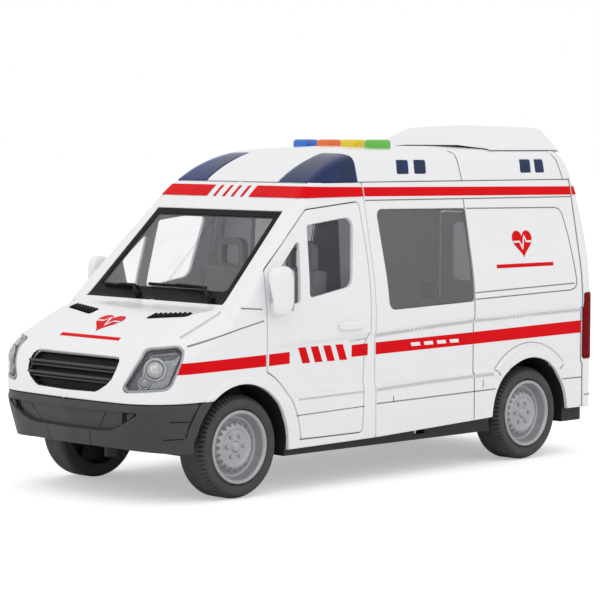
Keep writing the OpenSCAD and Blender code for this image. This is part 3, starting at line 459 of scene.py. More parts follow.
def face_out(part, ref=None):
    """Turns triangles so that they face away from a reference point, the middle unless given."""
    p, t, m = part
    q = p - (p.mean(0) if ref is None else np.array(ref))
    if np.sum(q[t[:, 0]] * np.cross(q[t[:, 1]], q[t[:, 2]])) < 0:
        t = t[:, ::-1]
    return p, t, m


def lathe(profile, centre, turns=96, wave=None, ref=None, pinch=None):
    """Surface of a profile (radius, y) turned about a level axis through centre.
    wave(radius, y, angle) adds relief along y, and pinch takes relief off the radius."""
    prof = np.asarray(profile, float)
    a = np.linspace(0, 2 * np.pi, turns, endpoint=False)
    r, y = prof[None, :, 0] + 0 * a[:, None], prof[None, :, 1] + 0 * a[:, None]
    if pinch is not None:
        r = r - pinch(r, y, a[:, None])
    if wave is not None:
        y = y + wave(r, y, a[:, None])
    p = cols(centre[0] + r * np.cos(a)[:, None], y, centre[1] + r * np.sin(a)[:, None])
    return face_out(grid_part(p, close_u=True), ref)


def pillow(lo, hi, power=5.0, n=25, warp=None):
    """Rounded box: a superellipsoid over (longitude, latitude) between two corners."""
    lo, hi = np.array(lo, float), np.array(hi, float)
    la, lb = np.meshgrid(np.linspace(-np.pi, np.pi, 2 * n, endpoint=False),
                         np.linspace(-np.pi / 2, np.pi / 2, n), indexing="ij")
    v = cols(np.cos(lb) * np.cos(la), np.cos(lb) * np.sin(la), np.sin(lb))
    k = np.sum(np.abs(v) ** power, -1) ** (-1 / power)
    p = (lo + hi) / 2 + v * k[..., None] * (hi - lo) / 2
    if warp is not None:
        p = warp(p)
    return face_out(grid_part(p, close_u=True))


def tube(path, radius, sides=8, flat=1.0, up=(0, 0, 1)):
    """Tube of a round or flattened section along a path."""
    path = np.asarray(path, float)
    t = unit(np.gradient(path, axis=0))
    a = unit(np.cross(t, up))
    b = np.cross(a, t)
    ang = np.linspace(0, 2 * np.pi, sides, endpoint=False)
    r = np.broadcast_to(radius, len(path))[:, None, None]
    p = path[:, None] + r * (a[:, None] * np.cos(ang)[:, None] + b[:, None] * np.sin(ang)[:, None] * flat)
    first, last = (np.repeat(k[:, None], sides, 1) for k in (path[:1], path[-1:]))
    return face_out(grid_part(chain(first, p, last), close_v=True))


def strip(skin, path, width, lift, pitch=1.2):
    """Ribbon of a width along a path on a skin."""
    q = dense(path, pitch, False)
    t = unit(np.gradient(q, axis=0))
    across = cols(-t[:, 1], t[:, 0])
    p = np.stack([skin(q + across * width * k) for k in (-0.5, 0.5)], 1)
    nrm = unit(np.cross(*slopes(skin, q)))
    nrm *= np.where(np.sum(nrm * (p[:, 0] - MIDDLE), 1) < 0, -1, 1)[:, None]
    v, tri, _ = grid_part(p + nrm[:, None] * lift)
    nrm = np.repeat(nrm, 2, 0)
    a, b, c = (v[tri[:, i]] for i in range(3))
    good = np.sum(np.cross(b - a, c - a) * nrm[tri[:, 0]], 1) > 0
    return v, np.where(good[:, None], tri, tri[:, ::-1]), nrm


# Where the panels meet

# The fold between wall and top, seen from above and on the wall
BORDER = dense([(118.5, 0), (118.2, 28), (115, 40.5), (109.5, 46), (101, 46.8), (88, 47.8), (82, 48.9), (48, 43.5),
                (36.6, 41.4), (20, 39.9), (8, 38.7), (-117, 38.2), (-121.8, 36), (-123.8, 30), (-123.9, 0)], 1.5, False)
BORDER_W = unroll(top_point(BORDER))
# Outlines as (u, z) or (x, y), most with a corner radius
DOOR = [(16.3, 21, 2)] + [(x, z, 0) for x, z in arc(FRONT_X, AXLE_Z, 31.5, 178.7, 114.6, 24)] + [
    (69.6, 88.4, 3), (42.6, 111.6, 3), (11.9, 114.4, 2), (10.9, 94.4, 0), (11.5, 62, 1.5), (14.5, 57, 2)]
WINDOW = [(21.5, 80.8, 5), (46, 76.8, 1.5), (43, 105.6, 1.5), (16, 108.6, 3.5)]
QUARTER = [(51.5, 75.5, 1), (55, 74.7, 1.5), (60.6, 89.2, 1.5), (48.3, 100.5, 1)]
SIDE_WINDOW = [(0, 70, 3.5), (1.9, 111.1, 3), (-52.7, 110.6, 1.5), (-52.2, 71.3, 1.5)]
LAMP = [(117.2, 44.9, 4), (135.4, 43.5, 1.5), (129.2, 53.2, 8), (124, 60.4, 5), (110.3, 61.5, 1.5), (113.2, 54, 30)]
GRILLE = [(FRONT_MID, 42.6), (149.6, 42.9), (146.9, 43.7), (142.2, 46), (139.6, 48.3), (138.2, 50.6), (136, 54.9),
          (136.1, 56), (137, 56.4), (FRONT_MID, 56.4)]
INTAKE = [(FRONT_MID, 27.9), (146, 27.9), (140.5, 28.3), (136.5, 29.8), (129.2, 34.8), (128.8, 35.5), (129.6, 35.9),
          (FRONT_MID, 35.9)]
VENT = [(98.5, 17, 1), (103.3, 17, 1), (98.9, 36, 1), (94.4, 36, 1)]
TAIL_LIGHT = [(-131.8, 42.2, 1), (-123.6, 42.2, 1), (-123.6, 71.6, 1), (-131.8, 72, 1)]
REAR_WINDOW = [(-166, 74, 3), (-138.6, 74, 3), (-138.6, 101, 3), (-166, 101, 3)]
REAR_DOOR = [(-177.85, 30.4, 0), (-133.9, 30.4, 1.5), (-133.9, 106, 1.5), (-177.85, 106, 0)]
ROOF_WINDOWS = [[(x - 7, 125.7, 0.6), (x, 125.7, 0.6), (x - 0.9, 131.3, 0.6), (x - 7.9, 131.3, 0.6)]
                for x in (-13.9, -24.6, -92.9, -103.6)]
SCREEN = [(79.9, 0), (79.9, 38.1), (51.3, 35), (51.3, 0)]
WIPERS = (((83.8, 33.5), (79.8, 26), (79.4, 26.5), (79.3, -8)),
          ((83.8, -10.5), (80.6, -15), (80.6, -13.5), (80.4, -35)))  # pivot, elbow and both ends of the blade
FOLD_STEP = 0.8  # a line across the header starts this far inside the fold


def off_fold(q, fold):
    """True more than 2 mm away from the fold."""
    return np.min(np.linalg.norm(q[:, None] - fold[None], axis=2), 1) > 2


def free_edge(q):
    """True for wall points away from the fold and from the middle plane, where edges are rounded."""
    return off_fold(q, BORDER_W) & (q[:, 0] < FRONT_MID - 1.5) & (q[:, 0] > REAR_MID + 1.6)


def free_top(q):
    """The same for points seen from above."""
    return off_fold(q, BORDER) & (q[:, 1] > 1.2)


def border_between(a, b, walls=True):
    """Part of the fold whose x lies from a down to b, as wall or top points."""
    m = (BORDER[:, 0] <= a) & (BORDER[:, 0] >= b)
    return (BORDER_W if walls else BORDER)[m]


def at_border(x):
    """Fold point at one x, as wall and top points."""
    i = np.argmin(np.abs(BORDER[20:, 0] - x)) + 20
    return BORDER_W[i], BORDER[i]


def fold_at(z):
    """Fold point beside the screen at one height, as wall and top points."""
    m = (BORDER[:, 0] < 60) & (BORDER[:, 0] > 12)
    return [np.array([np.interp(z, BORDER_W[m, 1], k[m, i]) for i in (0, 1)]) for k in (BORDER_W, BORDER)]


def level(z, a, b):
    """Line of one height across the header from y = a to b, seen from above."""
    y = np.linspace(a, b, 24)
    x = halve(lambda x: top_point(cols(x, y))[:, 2] > z, np.full(24, 20.0), np.full(24, 60.0))
    return cols(x, y)


def rear_seam(z, shift=0.0):
    """Wall line of one x, the seam before the rear frame plus a shift, at heights z."""
    z = np.asarray(z, float)
    u = halve(lambda u: wall_point(cols(u, z))[:, 0] <= SEAM_R + shift,
              np.full(len(z), -140.0), np.full(len(z), -105.0))
    return cols(u, z)


def cab_parts(s):
    """Cab skin: wall from the cab seam round the nose, and the bonnet, screen frame and header."""
    top, rear = DRIP - HALF_GAP, SEAM_F + HALF_GAP
    w, t = fold_at(top)
    i = int(np.argmax((BORDER_W[:, 1] > DRIP - 0.3) & (BORDER[:, 0] < 60)))
    wall_loop = chain([(rear, 18)], arc(FRONT_X, AXLE_Z, ARCH_R, 187, 50.8), [(FRONT_MID, 39.45)], GRILLE,
                      BORDER_W[:i], [w, (rear, top)])
    top_loop = chain(BORDER[:i], [t], level(top, t[1] - FOLD_STEP, 0), [(49, 0), (49, 37.6), (85, 41.4), (85, 0)])
    holes = [rounded(DOOR, s.door_gap), rounded(LAMP, 0.15)]
    a = patch(side_skin, wall_loop, holes, 2.4, 0, s.edge, s.wall, free_edge, relief_points(55, 71))
    b = patch(top_point, top_loop, [rounded(VENT, 0.1)], 2.4, 0, s.edge, s.wall, free_top)
    return both(join(a, b))


def roof_parts(s):
    """Roof skin above the drip seam, open at the beacons and the roof windows."""
    low, inner = DRIP + HALF_GAP, 21.45
    w, t = at_border(10.8)
    wall_loop = chain([(REAR_MID, low), (w[0], low), w], border_between(t[0] - 0.01, -200))
    top_loop = chain(level(low, 0, inner), [(t[0], inner), t], border_between(t[0] - 0.01, -200, False))
    a = patch(side_skin, wall_loop, [rounded(k, 0.1) for k in ROOF_WINDOWS], 2.4, 0, s.edge, s.wall, free_edge)
    b = patch(top_point, top_loop, (), 2.8, 0, s.edge, s.wall, free_top)
    return both(join(a, b))


def beacon_parts(s):
    """Front corner lenses of the roof, one at each side."""
    low, inner, thick = DRIP + 0.2, 21.8, 1.2
    _, end = at_border(11.2)
    w, t = fold_at(low)
    hi, hi_top = (border_between(t[0] - 0.4, end[0], walls) for walls in (True, False))
    wall_loop = chain([(hi[-1, 0], low), w], hi)
    top_loop = chain([(end[0], inner)], level(low, inner, t[1] - FOLD_STEP), [t], hi_top)
    a = patch(side_skin, wall_loop, (), 2, 0, 0, thick)
    b = patch(top_point, top_loop, (), 2, 0, s.edge, thick, free_top)
    return both(join(a, b))


def side_parts(s):
    """Side panel of the box between the cab seam and the rear corner seam."""
    top, front = DRIP - HALF_GAP, SEAM_F - HALF_GAP
    loop = chain(arc(REAR_X, AXLE_Z, ARCH_R, 179.3, 0.7), [(front, 18.0), (front, top)],
                 rear_seam(np.linspace(top, SILL, 24), HALF_GAP))
    return patch(side_skin, loop, [rounded(SIDE_WINDOW, 0.15)], 2.4, 0, s.edge, s.wall, None, relief_points(-124, 8))


def rear_parts(s):
    """Rear corner frame round the rear doors."""
    top, jamb = DRIP - HALF_GAP, -133.5
    loop = chain([(REAR_MID, SILL)], rear_seam(np.linspace(SILL, top, 24), -HALF_GAP),
                 [(REAR_MID, top), (REAR_MID, 106.4), (jamb, 106.4), (jamb, 30), (REAR_MID, 30)])
    return both(patch(side_skin, loop, [rounded(TAIL_LIGHT, 0.1)], 2.4, 0, s.edge, s.wall, free_edge))


def heart(cx, cy, size):
    """Heart outline from the usual sine curve."""
    t = np.linspace(0, 2 * np.pi, 60, endpoint=False)
    rise = 13 * np.cos(t) - 5 * np.cos(2 * t) - 2 * np.cos(3 * t) - np.cos(4 * t)
    return cols(cx + size * np.sin(t) ** 3, cy + size * rise / 16)


def slant(cx, cy, w, h, lean=0.35):
    """Slanted bar."""
    d = lean * h / 2
    return np.array([(cx - w / 2 - d, cy - h / 2), (cx + w / 2 - d, cy - h / 2),
                     (cx + w / 2 + d, cy + h / 2), (cx - w / 2 + d, cy + h / 2)])


# Materials

def tree(name):
    """New material with an empty node tree and its output."""
    m = bpy.data.materials.new(name)
    m.use_nodes = True
    nt = m.node_tree
    nt.nodes.clear()
    return m, nt, nt.nodes.new("ShaderNodeOutputMaterial")


def node(nt, kind, inputs=(), **settings):
    """Outputs of a new shader node; each input takes a value or a link from another node."""
    n = nt.nodes.new("ShaderNode" + kind)
    for key, value in settings.items():
        setattr(n, key, value)
    for key, value in dict(inputs).items():
        if isinstance(value, bpy.types.NodeSocket):
            nt.links.new(value, n.inputs[key])
        else:
            n.inputs[key].default_value = value
    return n.outputs


def noise(nt, scale, span=None, detail=3.0):
    """Noise on object coordinates, spread over a span if one is given."""
    where = node(nt, "TexCoord")["Object"]
    raw = node(nt, "TexNoise", {"Scale": scale, "Detail": detail, "Vector": where})["Fac"]
    if span is None:
        return raw
    ends = {"From Min": 0.3, "From Max": 0.7, "To Min": span[0], "To Max": span[1]}
    return node(nt, "MapRange", {"Value": raw, **ends})["Result"]


def plastic(name, color, rough=0.35, coat=0.0, metal=0.0, vary=0.05, bump=0.02, grain=900.0, shine=0.5):
    """Moulded plastic or painted metal: mottled colour, uneven gloss and a fine grain."""
    m, nt, out = tree(name)
    dark, light = [c * (1 - vary) for c in color], [min(1.0, c * (1 + vary)) for c in color]
    mottle = node(nt, "Mix", {"A": (*dark, 1), "B": (*light, 1), "Factor": noise(nt, 60.0, (0, 1))}, data_type="RGBA")
    fine = node(nt, "Bump", {"Strength": bump, "Distance": 0.0004, "Height": noise(nt, grain)})
    skin = node(nt, "BsdfPrincipled", {
        "Metallic": metal, "Coat Weight": coat, "Specular IOR Level": shine, "Coat Roughness": 0.06,
        "Base Color": mottle["Result"], "Normal": fine["Normal"],
        "Roughness": noise(nt, 150.0, (rough * 0.85, rough * 1.15), 5.0)})
    nt.links.new(skin["BSDF"], out.inputs["Surface"])
    return m


def pane(name, tint, body=(0, 0, 0), solid=0.0, gloss=1.0):
    """Thin clear plastic: lets tinted light through and keeps a share of body colour.
    Only its outer face mirrors, by the Fresnel share times gloss."""
    m, nt, out = tree(name)
    dim = node(nt, "Mix", {"A": (*[c * 0.94 for c in tint], 1), "B": (*tint, 1), "Factor": noise(nt, 40.0, (0, 1))},
               data_type="RGBA")
    through = node(nt, "BsdfTransparent", {"Color": dim["Result"]})
    mass = node(nt, "BsdfDiffuse", {"Color": (*body, 1)})
    core = node(nt, "MixShader", {"Fac": solid, 1: through["BSDF"], 2: mass["BSDF"]})
    mirror = node(nt, "BsdfGlossy", {"Roughness": noise(nt, 200.0, (0.04, 0.1))})
    back, fresnel = node(nt, "NewGeometry")["Backfacing"], node(nt, "Fresnel", {"IOR": 1.45})["Fac"]
    outer = node(nt, "Math", {0: back, 1: -gloss, 2: gloss}, operation="MULTIPLY_ADD")
    share = node(nt, "Math", {0: fresnel, 1: outer["Value"]}, operation="MULTIPLY", use_clamp=True)
    mix = node(nt, "MixShader", {"Fac": share["Value"], 1: core["Shader"], 2: mirror["BSDF"]})
    nt.links.new(mix["Shader"], out.inputs["Surface"])
    return m


PALETTE = {
    "white": lambda: plastic("shell_white", (0.86, 0.865, 0.88), 0.26, 0.4, vary=0.006, bump=0.003),
    "seam": lambda: plastic("seam_shadow", (0.055, 0.058, 0.065), 0.7),
    "line": lambda: plastic("seam_line", (0.2, 0.205, 0.215), 0.6),
    # The crease finish is painted shade: a flat grey laid along the creases where the shading of the turning surface
    # falls
    "crease": lambda: plastic("crease_shade", (0.58, 0.585, 0.6), 0.4, bump=0.01),
    "red": lambda: plastic("print_red", (0.73, 0.002, 0.006), 0.4, bump=0.01, shine=0.06),
    "bumper": lambda: plastic("bumper_grey", (0.05, 0.051, 0.055), 0.45, bump=0.1, grain=1600.0, shine=0.35),
    "black": lambda: plastic("trim_black", (0.007, 0.007, 0.008), 0.42, bump=0.02, shine=0.1),
    "chassis": lambda: plastic("chassis_black", (0.02, 0.02, 0.021), 0.5, bump=0.08, grain=1500.0, shine=0.3),
    "tyre": lambda: plastic("tyre_grey", (0.045, 0.045, 0.047), 0.62, bump=0.2, grain=1400.0),
    "rim": lambda: plastic("rim_silver", (0.42, 0.425, 0.44), 0.36, 0.2, metal=0.55, bump=0.05),
    "chrome": lambda: plastic("reflector_chrome", (0.55, 0.56, 0.58), 0.16, metal=0.9),
    "grey": lambda: plastic("interior_grey", (0.3, 0.31, 0.32), 0.5, bump=0.1),
    "pale": lambda: plastic("interior_pale", (0.78, 0.79, 0.8), 0.5, bump=0.08),
    "steel": lambda: plastic("bright_steel", (0.55, 0.55, 0.56), 0.28, metal=1.0),
    "ivory": lambda: plastic("gear_ivory", (0.78, 0.74, 0.64), 0.45),
    "green_board": lambda: plastic("board_green", (0.03, 0.16, 0.06), 0.4),
    "lead": lambda: plastic("lead_red", (0.35, 0.02, 0.02), 0.45),
    "clear": lambda: pane("clear_pane", (0.89, 0.895, 0.9), gloss=1.2),
    "smoke": lambda: pane("smoke_pane", (0.74, 0.75, 0.76), (0.31, 0.315, 0.32), 0.3, 0.5),
    "blue": lambda: pane("blue_lens", (0.13, 0.36, 0.78), (0.012, 0.055, 0.15), 0.28, 1.0),
    "tail": lambda: pane("red_lens", (0.4, 0.02, 0.02), (0.26, 0.002, 0.006), 0.7, 0.3),
    "btn_blue": lambda: plastic("button_blue", (0.02, 0.16, 0.62), 0.3, 0.3),
    "btn_orange": lambda: plastic("button_orange", (0.85, 0.16, 0.01), 0.3, 0.3),
    "btn_yellow": lambda: plastic("button_yellow", (0.88, 0.62, 0.01), 0.3, 0.3),
    "btn_green": lambda: plastic("button_green", (0.12, 0.5, 0.05), 0.3, 0.3),
}
MADE = {}


def finish_of(key):
    """Material from the palette, made once."""
    if key not in MADE:
        MADE[key] = PALETTE[key]()
    return MADE[key]


# Groups of pieces

def build_shell(s):
    """Cab, roof, sides and rear frame."""
    place("cab_skin", cab_parts(s), "white", nodes=["cab_shell"])
    place("roof_skin", roof_parts(s), "white", nodes=["roof_shell"])
    side = side_parts(s)
    for tag, turned in SIDES:
        place("side_skin_" + tag, turned(side), "white", nodes=["side_panel_" + tag])
    place("rear_skin", rear_parts(s), "white", nodes=["rear_frame"])


def mirror_shape(p):
    """Mirror housing: swept back outwards, and cut to clear the pillar when its door swings out."""
    x, y, z = p[..., 0], p[..., 1], p[..., 2]
    x = x - 0.10 * np.maximum(0, y - 52.6) ** 1.3 + 0.5
    side = 51.6 - 0.194 * np.maximum(0, z - 77)
    return cols(np.minimum(x, 68.5 + (0.643 * (y - 50.1) - (side - 50.1)) / 0.766), y, z)


def build_doors(s):
    """Cab doors with handles and mirrors, and rear doors with glass."""
    openings = [rounded(WINDOW), rounded(QUARTER)]
    door = patch(side_skin, rounded(DOOR), openings, 2.2, 0, s.edge, s.wall, None, relief_points(12, 70))
    grip = pillow((16.1, 50.2, 63), (30.7, 52.9, 66.6), 4)
    cup = pillow((18.5, 49.6, 61.2), (28.5, 51.0, 68.4), 3)
    mirror = pillow((61.4, 52.6, 71.2), (71.8, 58.2, 90.4), 3.6, 33, mirror_shape)
    arm = pillow((61.8, 49.8, 70.6), (68.2, 55, 76.5), 4)
    face = pillow((61.15, 53.4, 72.6), (61.75, 57.4, 89.0), 6)
    rear = patch(side_skin, rounded(REAR_DOOR), [rounded(REAR_WINDOW)], 2.4, 0, s.edge, s.wall, free_edge)
    glass = patch(side_skin, rounded(REAR_WINDOW, -0.1), (), 3, -0.6, 0, 1.2)
    pull = pillow((-133.2, 6, 60), (-131.4, 9.4, 67), 5)
    for tag, turned in SIDES:
        cab, tail = "cab_door_" + tag, "tail_door_" + tag
        place("door_skin_" + tag, turned(door), "white", cab, ["front_door_" + tag])
        place("door_handle_" + tag, turned(grip), "white", cab)
        place("door_cup_" + tag, turned(cup), "line", cab)
        place("mirror_skin_" + tag, turned(mirror), "white", cab, ["mirror_" + tag])
        place("mirror_arm_" + tag, turned(arm), "white", cab)
        place("mirror_face_" + tag, turned(face), "chrome", cab)
        place("tail_door_skin_" + tag, turned(rear), "white", tail, ["rear_door_" + tag])
        place("tail_pane_" + tag, turned(glass), "smoke", tail, ["rear_glass_" + tag])
        place("tail_pull_" + tag, turned(pull), "bumper", tail)


def build_glass(s):
    """Windscreen, its border, wipers, side windows, beacons, roof windows and tail lights."""
    border = [(84.9, 0), (84.9, 41.2), (49.1, 37.5), (49.1, 0)] + SCREEN[::-1]
    panels("screen_pane", top_point, [SCREEN], 3, -0.5, 0, 1, "clear", ["windscreen"])
    panels("screen_border", top_point, [border], 2, -0.25, 0, 1.2, "black", ["windscreen_surround"])
    panels("side_pane", side_skin, [rounded(SIDE_WINDOW)], 3, -0.5, 0.3, 1, "smoke", ["side_windows"])
    place("beacon_skin", beacon_parts(s), "blue", nodes=["beacon_lenses"])
    roof = [rounded(k) for k in ROOF_WINDOWS]
    panels("roof_panes", side_skin, roof, 1.5, -0.1, 0.3, 1, "blue", ["roof_window_lenses"])
    panels("tail_lenses", side_skin, [rounded(TAIL_LIGHT)], 1.5, 0.25, 0.5, 1, "tail", ["tail_lights"])
    up = np.array([0.7071, 0, 0.7071])
    blades = []
    for pivot, elbow, a, b in WIPERS:
        arm = dense([pivot, elbow, ((a[0] + b[0]) / 2, (a[1] + b[1]) / 2)], 1.5, False)
        foot = top_point(np.array([pivot]))[0]
        blades.append(tube(top_point(arm) + up * 1.3, np.linspace(0.85, 0.5, len(arm))))
        blades.append(tube(top_point(dense([a, b], 2, False)) + up * 0.55, 0.62))
        blades.append(pillow(foot - [1.4, 1.4, 1], foot + [1.4, 1.4, 2], 3, 10))
    place("wiper_arms", join(*blades), "black", nodes=["wipers"])


def ring_at(skin, q, radius, thick, depth):
    """Torus round a point of a skin, sunk by depth, with a dome in it."""
    q = np.array([q], float)
    p = skin(q)[0]
    du, dv = (k[0] for k in slopes(skin, q, 0.3))
    n = np.cross(du, dv)
    n /= np.linalg.norm(n)
    n = n if n @ p > 0 else -n
    a = du / np.linalg.norm(du)
    b = np.cross(n, a)
    t = np.linspace(0, 2 * np.pi, 41)
    turn = np.cos(t)[:, None] * a + np.sin(t)[:, None] * b
    c = p - n * depth
    dome = np.stack([c + radius * (0.86 * math.cos(e) * turn[:-1] + 0.5 * math.sin(e) * n)
                     for e in np.linspace(0, np.pi / 2, 9)], 1)
    return join(tube(c + radius * turn, thick, up=n), grid_part(dome, close_u=True))


def build_front(s):
    """Bumper, grille, headlights and bonnet vents."""
    low = [(107.4, 19.7), (112, 19.9), (125, 20.7), (140, 21.3), (FRONT_MID, 21.4)]
    loop = chain(low, INTAKE, [(FRONT_MID, 39.15)], arc(FRONT_X, AXLE_Z, ARCH_R, 50.4, -1.4))
    skin = patch(bumper_point, loop, (), 2, 0, s.edge, s.wall, free_edge)
    place("bumper_skin", both(skin), "bumper", nodes=["front_bumper"])
    ground = bumper_point(dense(low, 1.5, False))[:, :2] - [0.6, 0.6]
    ground = chain(ground, [(109.8, 0), (109.8, 49.5)])
    pocket = [(129.9, 34.7), (132.8, 32.4), (132.8, 35.7), (129.6, 35.7)]
    panels("bumper_floor", floor_point, [ground], 4, 0, 0, 1.2, "bumper")
    panels("intake_panel", bumper_point, [INTAKE], 2, -1.7, 0, 0.4, "bumper")
    panels("fog_pockets", bumper_point, [pocket], 1.2, -0.6, 0.3, 0.6, "bumper")
    marks = [patch(bumper_point, [(133, 32.2), (135.4, 30.5), (135.4, 35.8), (133, 35.8)], (), 1.5, -1.55)]
    marks += [strip(bumper_point, *k) for k in (
        ([(111.5, 26), (119, 25.8)], 0.4, 0.04), ([(108.6, 32.4), (117, 32.7)], 0.4, 0.04),
        ([(154.2, 22), (154.6, 27.4)], 0.5, 0.04), ([(143.3, 35.5), (148.4, 28.4)], 0.3, -1.62),
        (arc(FRONT_X, AXLE_Z, ARCH_R + 4.1, 42, 12, 30), 0.45, 0.3))]
    place("bumper_marks", both(join(*marks)), "black")
    panels("grille_back", wall_point, [GRILLE], 2, -2.6, 0, 0.8, "black", ["grille"])
    bars = []
    for z, radius, sink in ((52.1, 0.6, 0.55), (50.6, 0.45, 1.3), (47.9, 0.6, 0.55), (46.5, 0.45, 1.3)):
        start = np.interp(z, [43.7, 46, 48.3, 50.6, 54.9], [146.9, 142.2, 139.6, 138.2, 136]) - 0.4
        bars.append(tube(wall_point(dense([(start, z), (FRONT_MID, z)], 1.5, False)) - [sink, 0, 0], radius))
    place("grille_bars", both(join(*bars)), "bumper")
    place("grille_frame", both(tube(wall_point(dense(GRILLE, 1.2, False)) - [0.9, 0, 0], 0.5)), "black")
    panels("lamp_panes", wall_point, [rounded(LAMP)], 1.5, 0, 0.5, 0.7, "clear", ["headlight_lenses"])
    panels("lamp_bowls", wall_point, [rounded(LAMP, -0.1)], 1.5, -1.9, 0, 0.6, "chrome", ["headlight_reflectors"])
    eyes = [ring_at(wall_point, *k, 1.9) for k in (((122.6, 52.8), 4.0, 0.7), ((126.6, 47.6), 2.3, 0.5))]
    place("lamp_eyes", both(join(*eyes)), "steel")
    masks = [[(129, 45), (133.6, 44.3), (129.4, 51.4), (127.4, 54.2), (127.6, 50)],
             [(112.4, 59.4), (122.6, 58.9), (125.4, 55.9), (114.4, 57.4)]]
    panels("lamp_masks", wall_point, masks, 1.5, -1.8, 0, 0, "line")
    rim = rounded(LAMP, -0.3)
    ring = wall_point(chain(dense(rim, 1.2), rim[:1])) - [0.5, 0.4, 0]
    place("lamp_rims", both(tube(ring, 0.55)), "rim")
    panels("vent_back", top_point, [rounded(VENT)], 1.5, -0.7, 0, 0.5, "seam", ["bonnet_vents"])
    bars = []
    for y in np.arange(18.2, 36, 2.3):
        x0, x1 = (np.interp(y, [17, 36], k) for k in ([98.7, 94.6], [103.1, 98.7]))
        q = np.array([(x0, y), ((x0 + x1) / 2, y + 0.2), (x1, y)])
        bars.append(tube(top_point(q) - [0, 0, 0.15], 0.62, 6))
    place("vent_bars", both(join(*bars)), "black")


def resample(profile, gap):
    """Profile with points every gap along it."""
    p = np.asarray(profile, float)
    d = chain([0], np.cumsum(np.linalg.norm(np.diff(p, axis=0), axis=1)))
    t = np.linspace(0, d[-1], int(d[-1] / gap) + 2)
    return cols(np.interp(t, d, p[:, 0]), np.interp(t, d, p[:, 1]))


TREAD = [(14.7, 36.2), (15.4, 35.7), (19.0, 35.7), (19.9, 36.3), (20.3, 37.6), (20.3, 45.9), (20.1, 47.2), (19.3, 48.6),
         (18.3, 49.4), (17, 49.5), (15.6, 49.2), (14.8, 48.8), (14.6, 46), (14.6, 36.2)]
RIM_FACE = [(14.55, 47.2), (14.5, 49.1), (14.1, 49.5), (13.3, 49.4), (12.8, 48.7), (12.4, 46.4), (12.0, 45.1),
            (11.4, 44.7), (10.7, 44.9), (10.0, 45.7), (9.0, 46.6), (8.0, 47.0), (7.2, 47.0), (6.6, 46.6), (2.4, 46.6),
            (2.1, 47.2), (1.7, 47.6), (1.0, 47.7), (0.01, 47.7)]
WHEEL_BACK = [(14.6, 36.4), (14.5, 42.4), (13.5, 42.6), (4.6, 42.6), (4.5, 35), (1.6, 34.6), (0.01, 34.6)]
BOLT_RING, BOLT_R = 4.4, 0.8


def slots(r, y, a):
    """Relief of the twenty slots in a rim."""
    return -1.5 * step((np.cos(a * 20) - 0.05) / 0.3) * step((0.95 - np.abs(r - 9.4)) / 0.35)


def build_wheels(s):
    """Tyres with shoulder notches, and pressed steel style rims with slots, bolts and a cap."""
    def notch(r, y, a):
        """Depth of the notches on the outer shoulder."""
        on_shoulder = step((y - 46.1) / 0.4) * step((49 - y) / 0.6) * step((r - 18) / 0.5)
        return 0.9 * step((np.cos(a * s.notches) - 0.1) / 0.3) * on_shoulder

    for end, x in (("front", FRONT_X), ("rear", REAR_X)):
        hub, wheels = (x, AXLE_Z), end + "_wheels"
        tyre = lathe(resample(TREAD, 0.5), hub, 528, pinch=notch)
        rim = lathe(resample(RIM_FACE, 0.28), hub, 320, slots, (x, 30, AXLE_Z))
        back, bolts = [lathe(WHEEL_BACK, hub, 64, None, (x, 60, AXLE_Z))], []
        for t in np.arange(6) * np.pi / 3:
            co, si = math.cos(t), math.sin(t)
            bx, bz = x + BOLT_RING * co, AXLE_Z + BOLT_RING * si
            bolts.append(pillow((bx - BOLT_R, 46.1, bz - BOLT_R), (bx + BOLT_R, 47.6, bz + BOLT_R), 2.4, 11))
            rib = [(x + r * co, 40.4, AXLE_Z + r * si) for r in (4.2, 9, 14.3)]
            back.append(tube(rib, 2.2, 8, 0.28, (-si, 0, co)))
        for tag, turned in SIDES:
            place("%s_tyre_skin_%s" % (end, tag), turned(tyre), "tyre", wheels, ["%s_tyre_%s" % (end, tag)])
            place("%s_rim_skin_%s" % (end, tag), turned(rim), "rim", wheels, ["%s_rim_%s" % (end, tag)])
            place("%s_bolts_%s" % (end, tag), turned(join(*bolts)), "rim", wheels)
            place("%s_wheel_back_%s" % (end, tag), turned(join(*back)), "tyre", wheels)


def build_buttons(s):
    """Four coloured sound buttons on the roof."""
    for i, tag in enumerate(("blue", "orange", "yellow", "green")):
        y = (i - 1.5) * 14.4
        key = pillow((-27.1, y - 4.15, 133.6), (-18.1, y + 4.15, 139.8), 7)
        place("button_cap_" + tag, key, "btn_" + tag, "button_" + tag, ["sound_button_" + tag])


def stripe(a, b, c=None):
    """Outline of the red side stripe from u = a to b, with its upper edge ending at c."""
    x, y = np.linspace(a, b, 12), np.linspace(a, b if c is None else c, 12)
    low = np.interp(x, [-126, -52, 8, 69, 117], [54, 52.9, 52.1, 51.2, 50.5])
    high = np.interp(y, [-126, -52, 8, 57, 69, 115], [59.5, 58, 57, 56, 55.8, 54.8])
    return chain(cols(x, low), cols(y, high)[::-1])


def ink(skin, outline, pitch, lift=PRINT):
    """Thin printed patch."""
    return patch(skin, outline, (), pitch, lift)


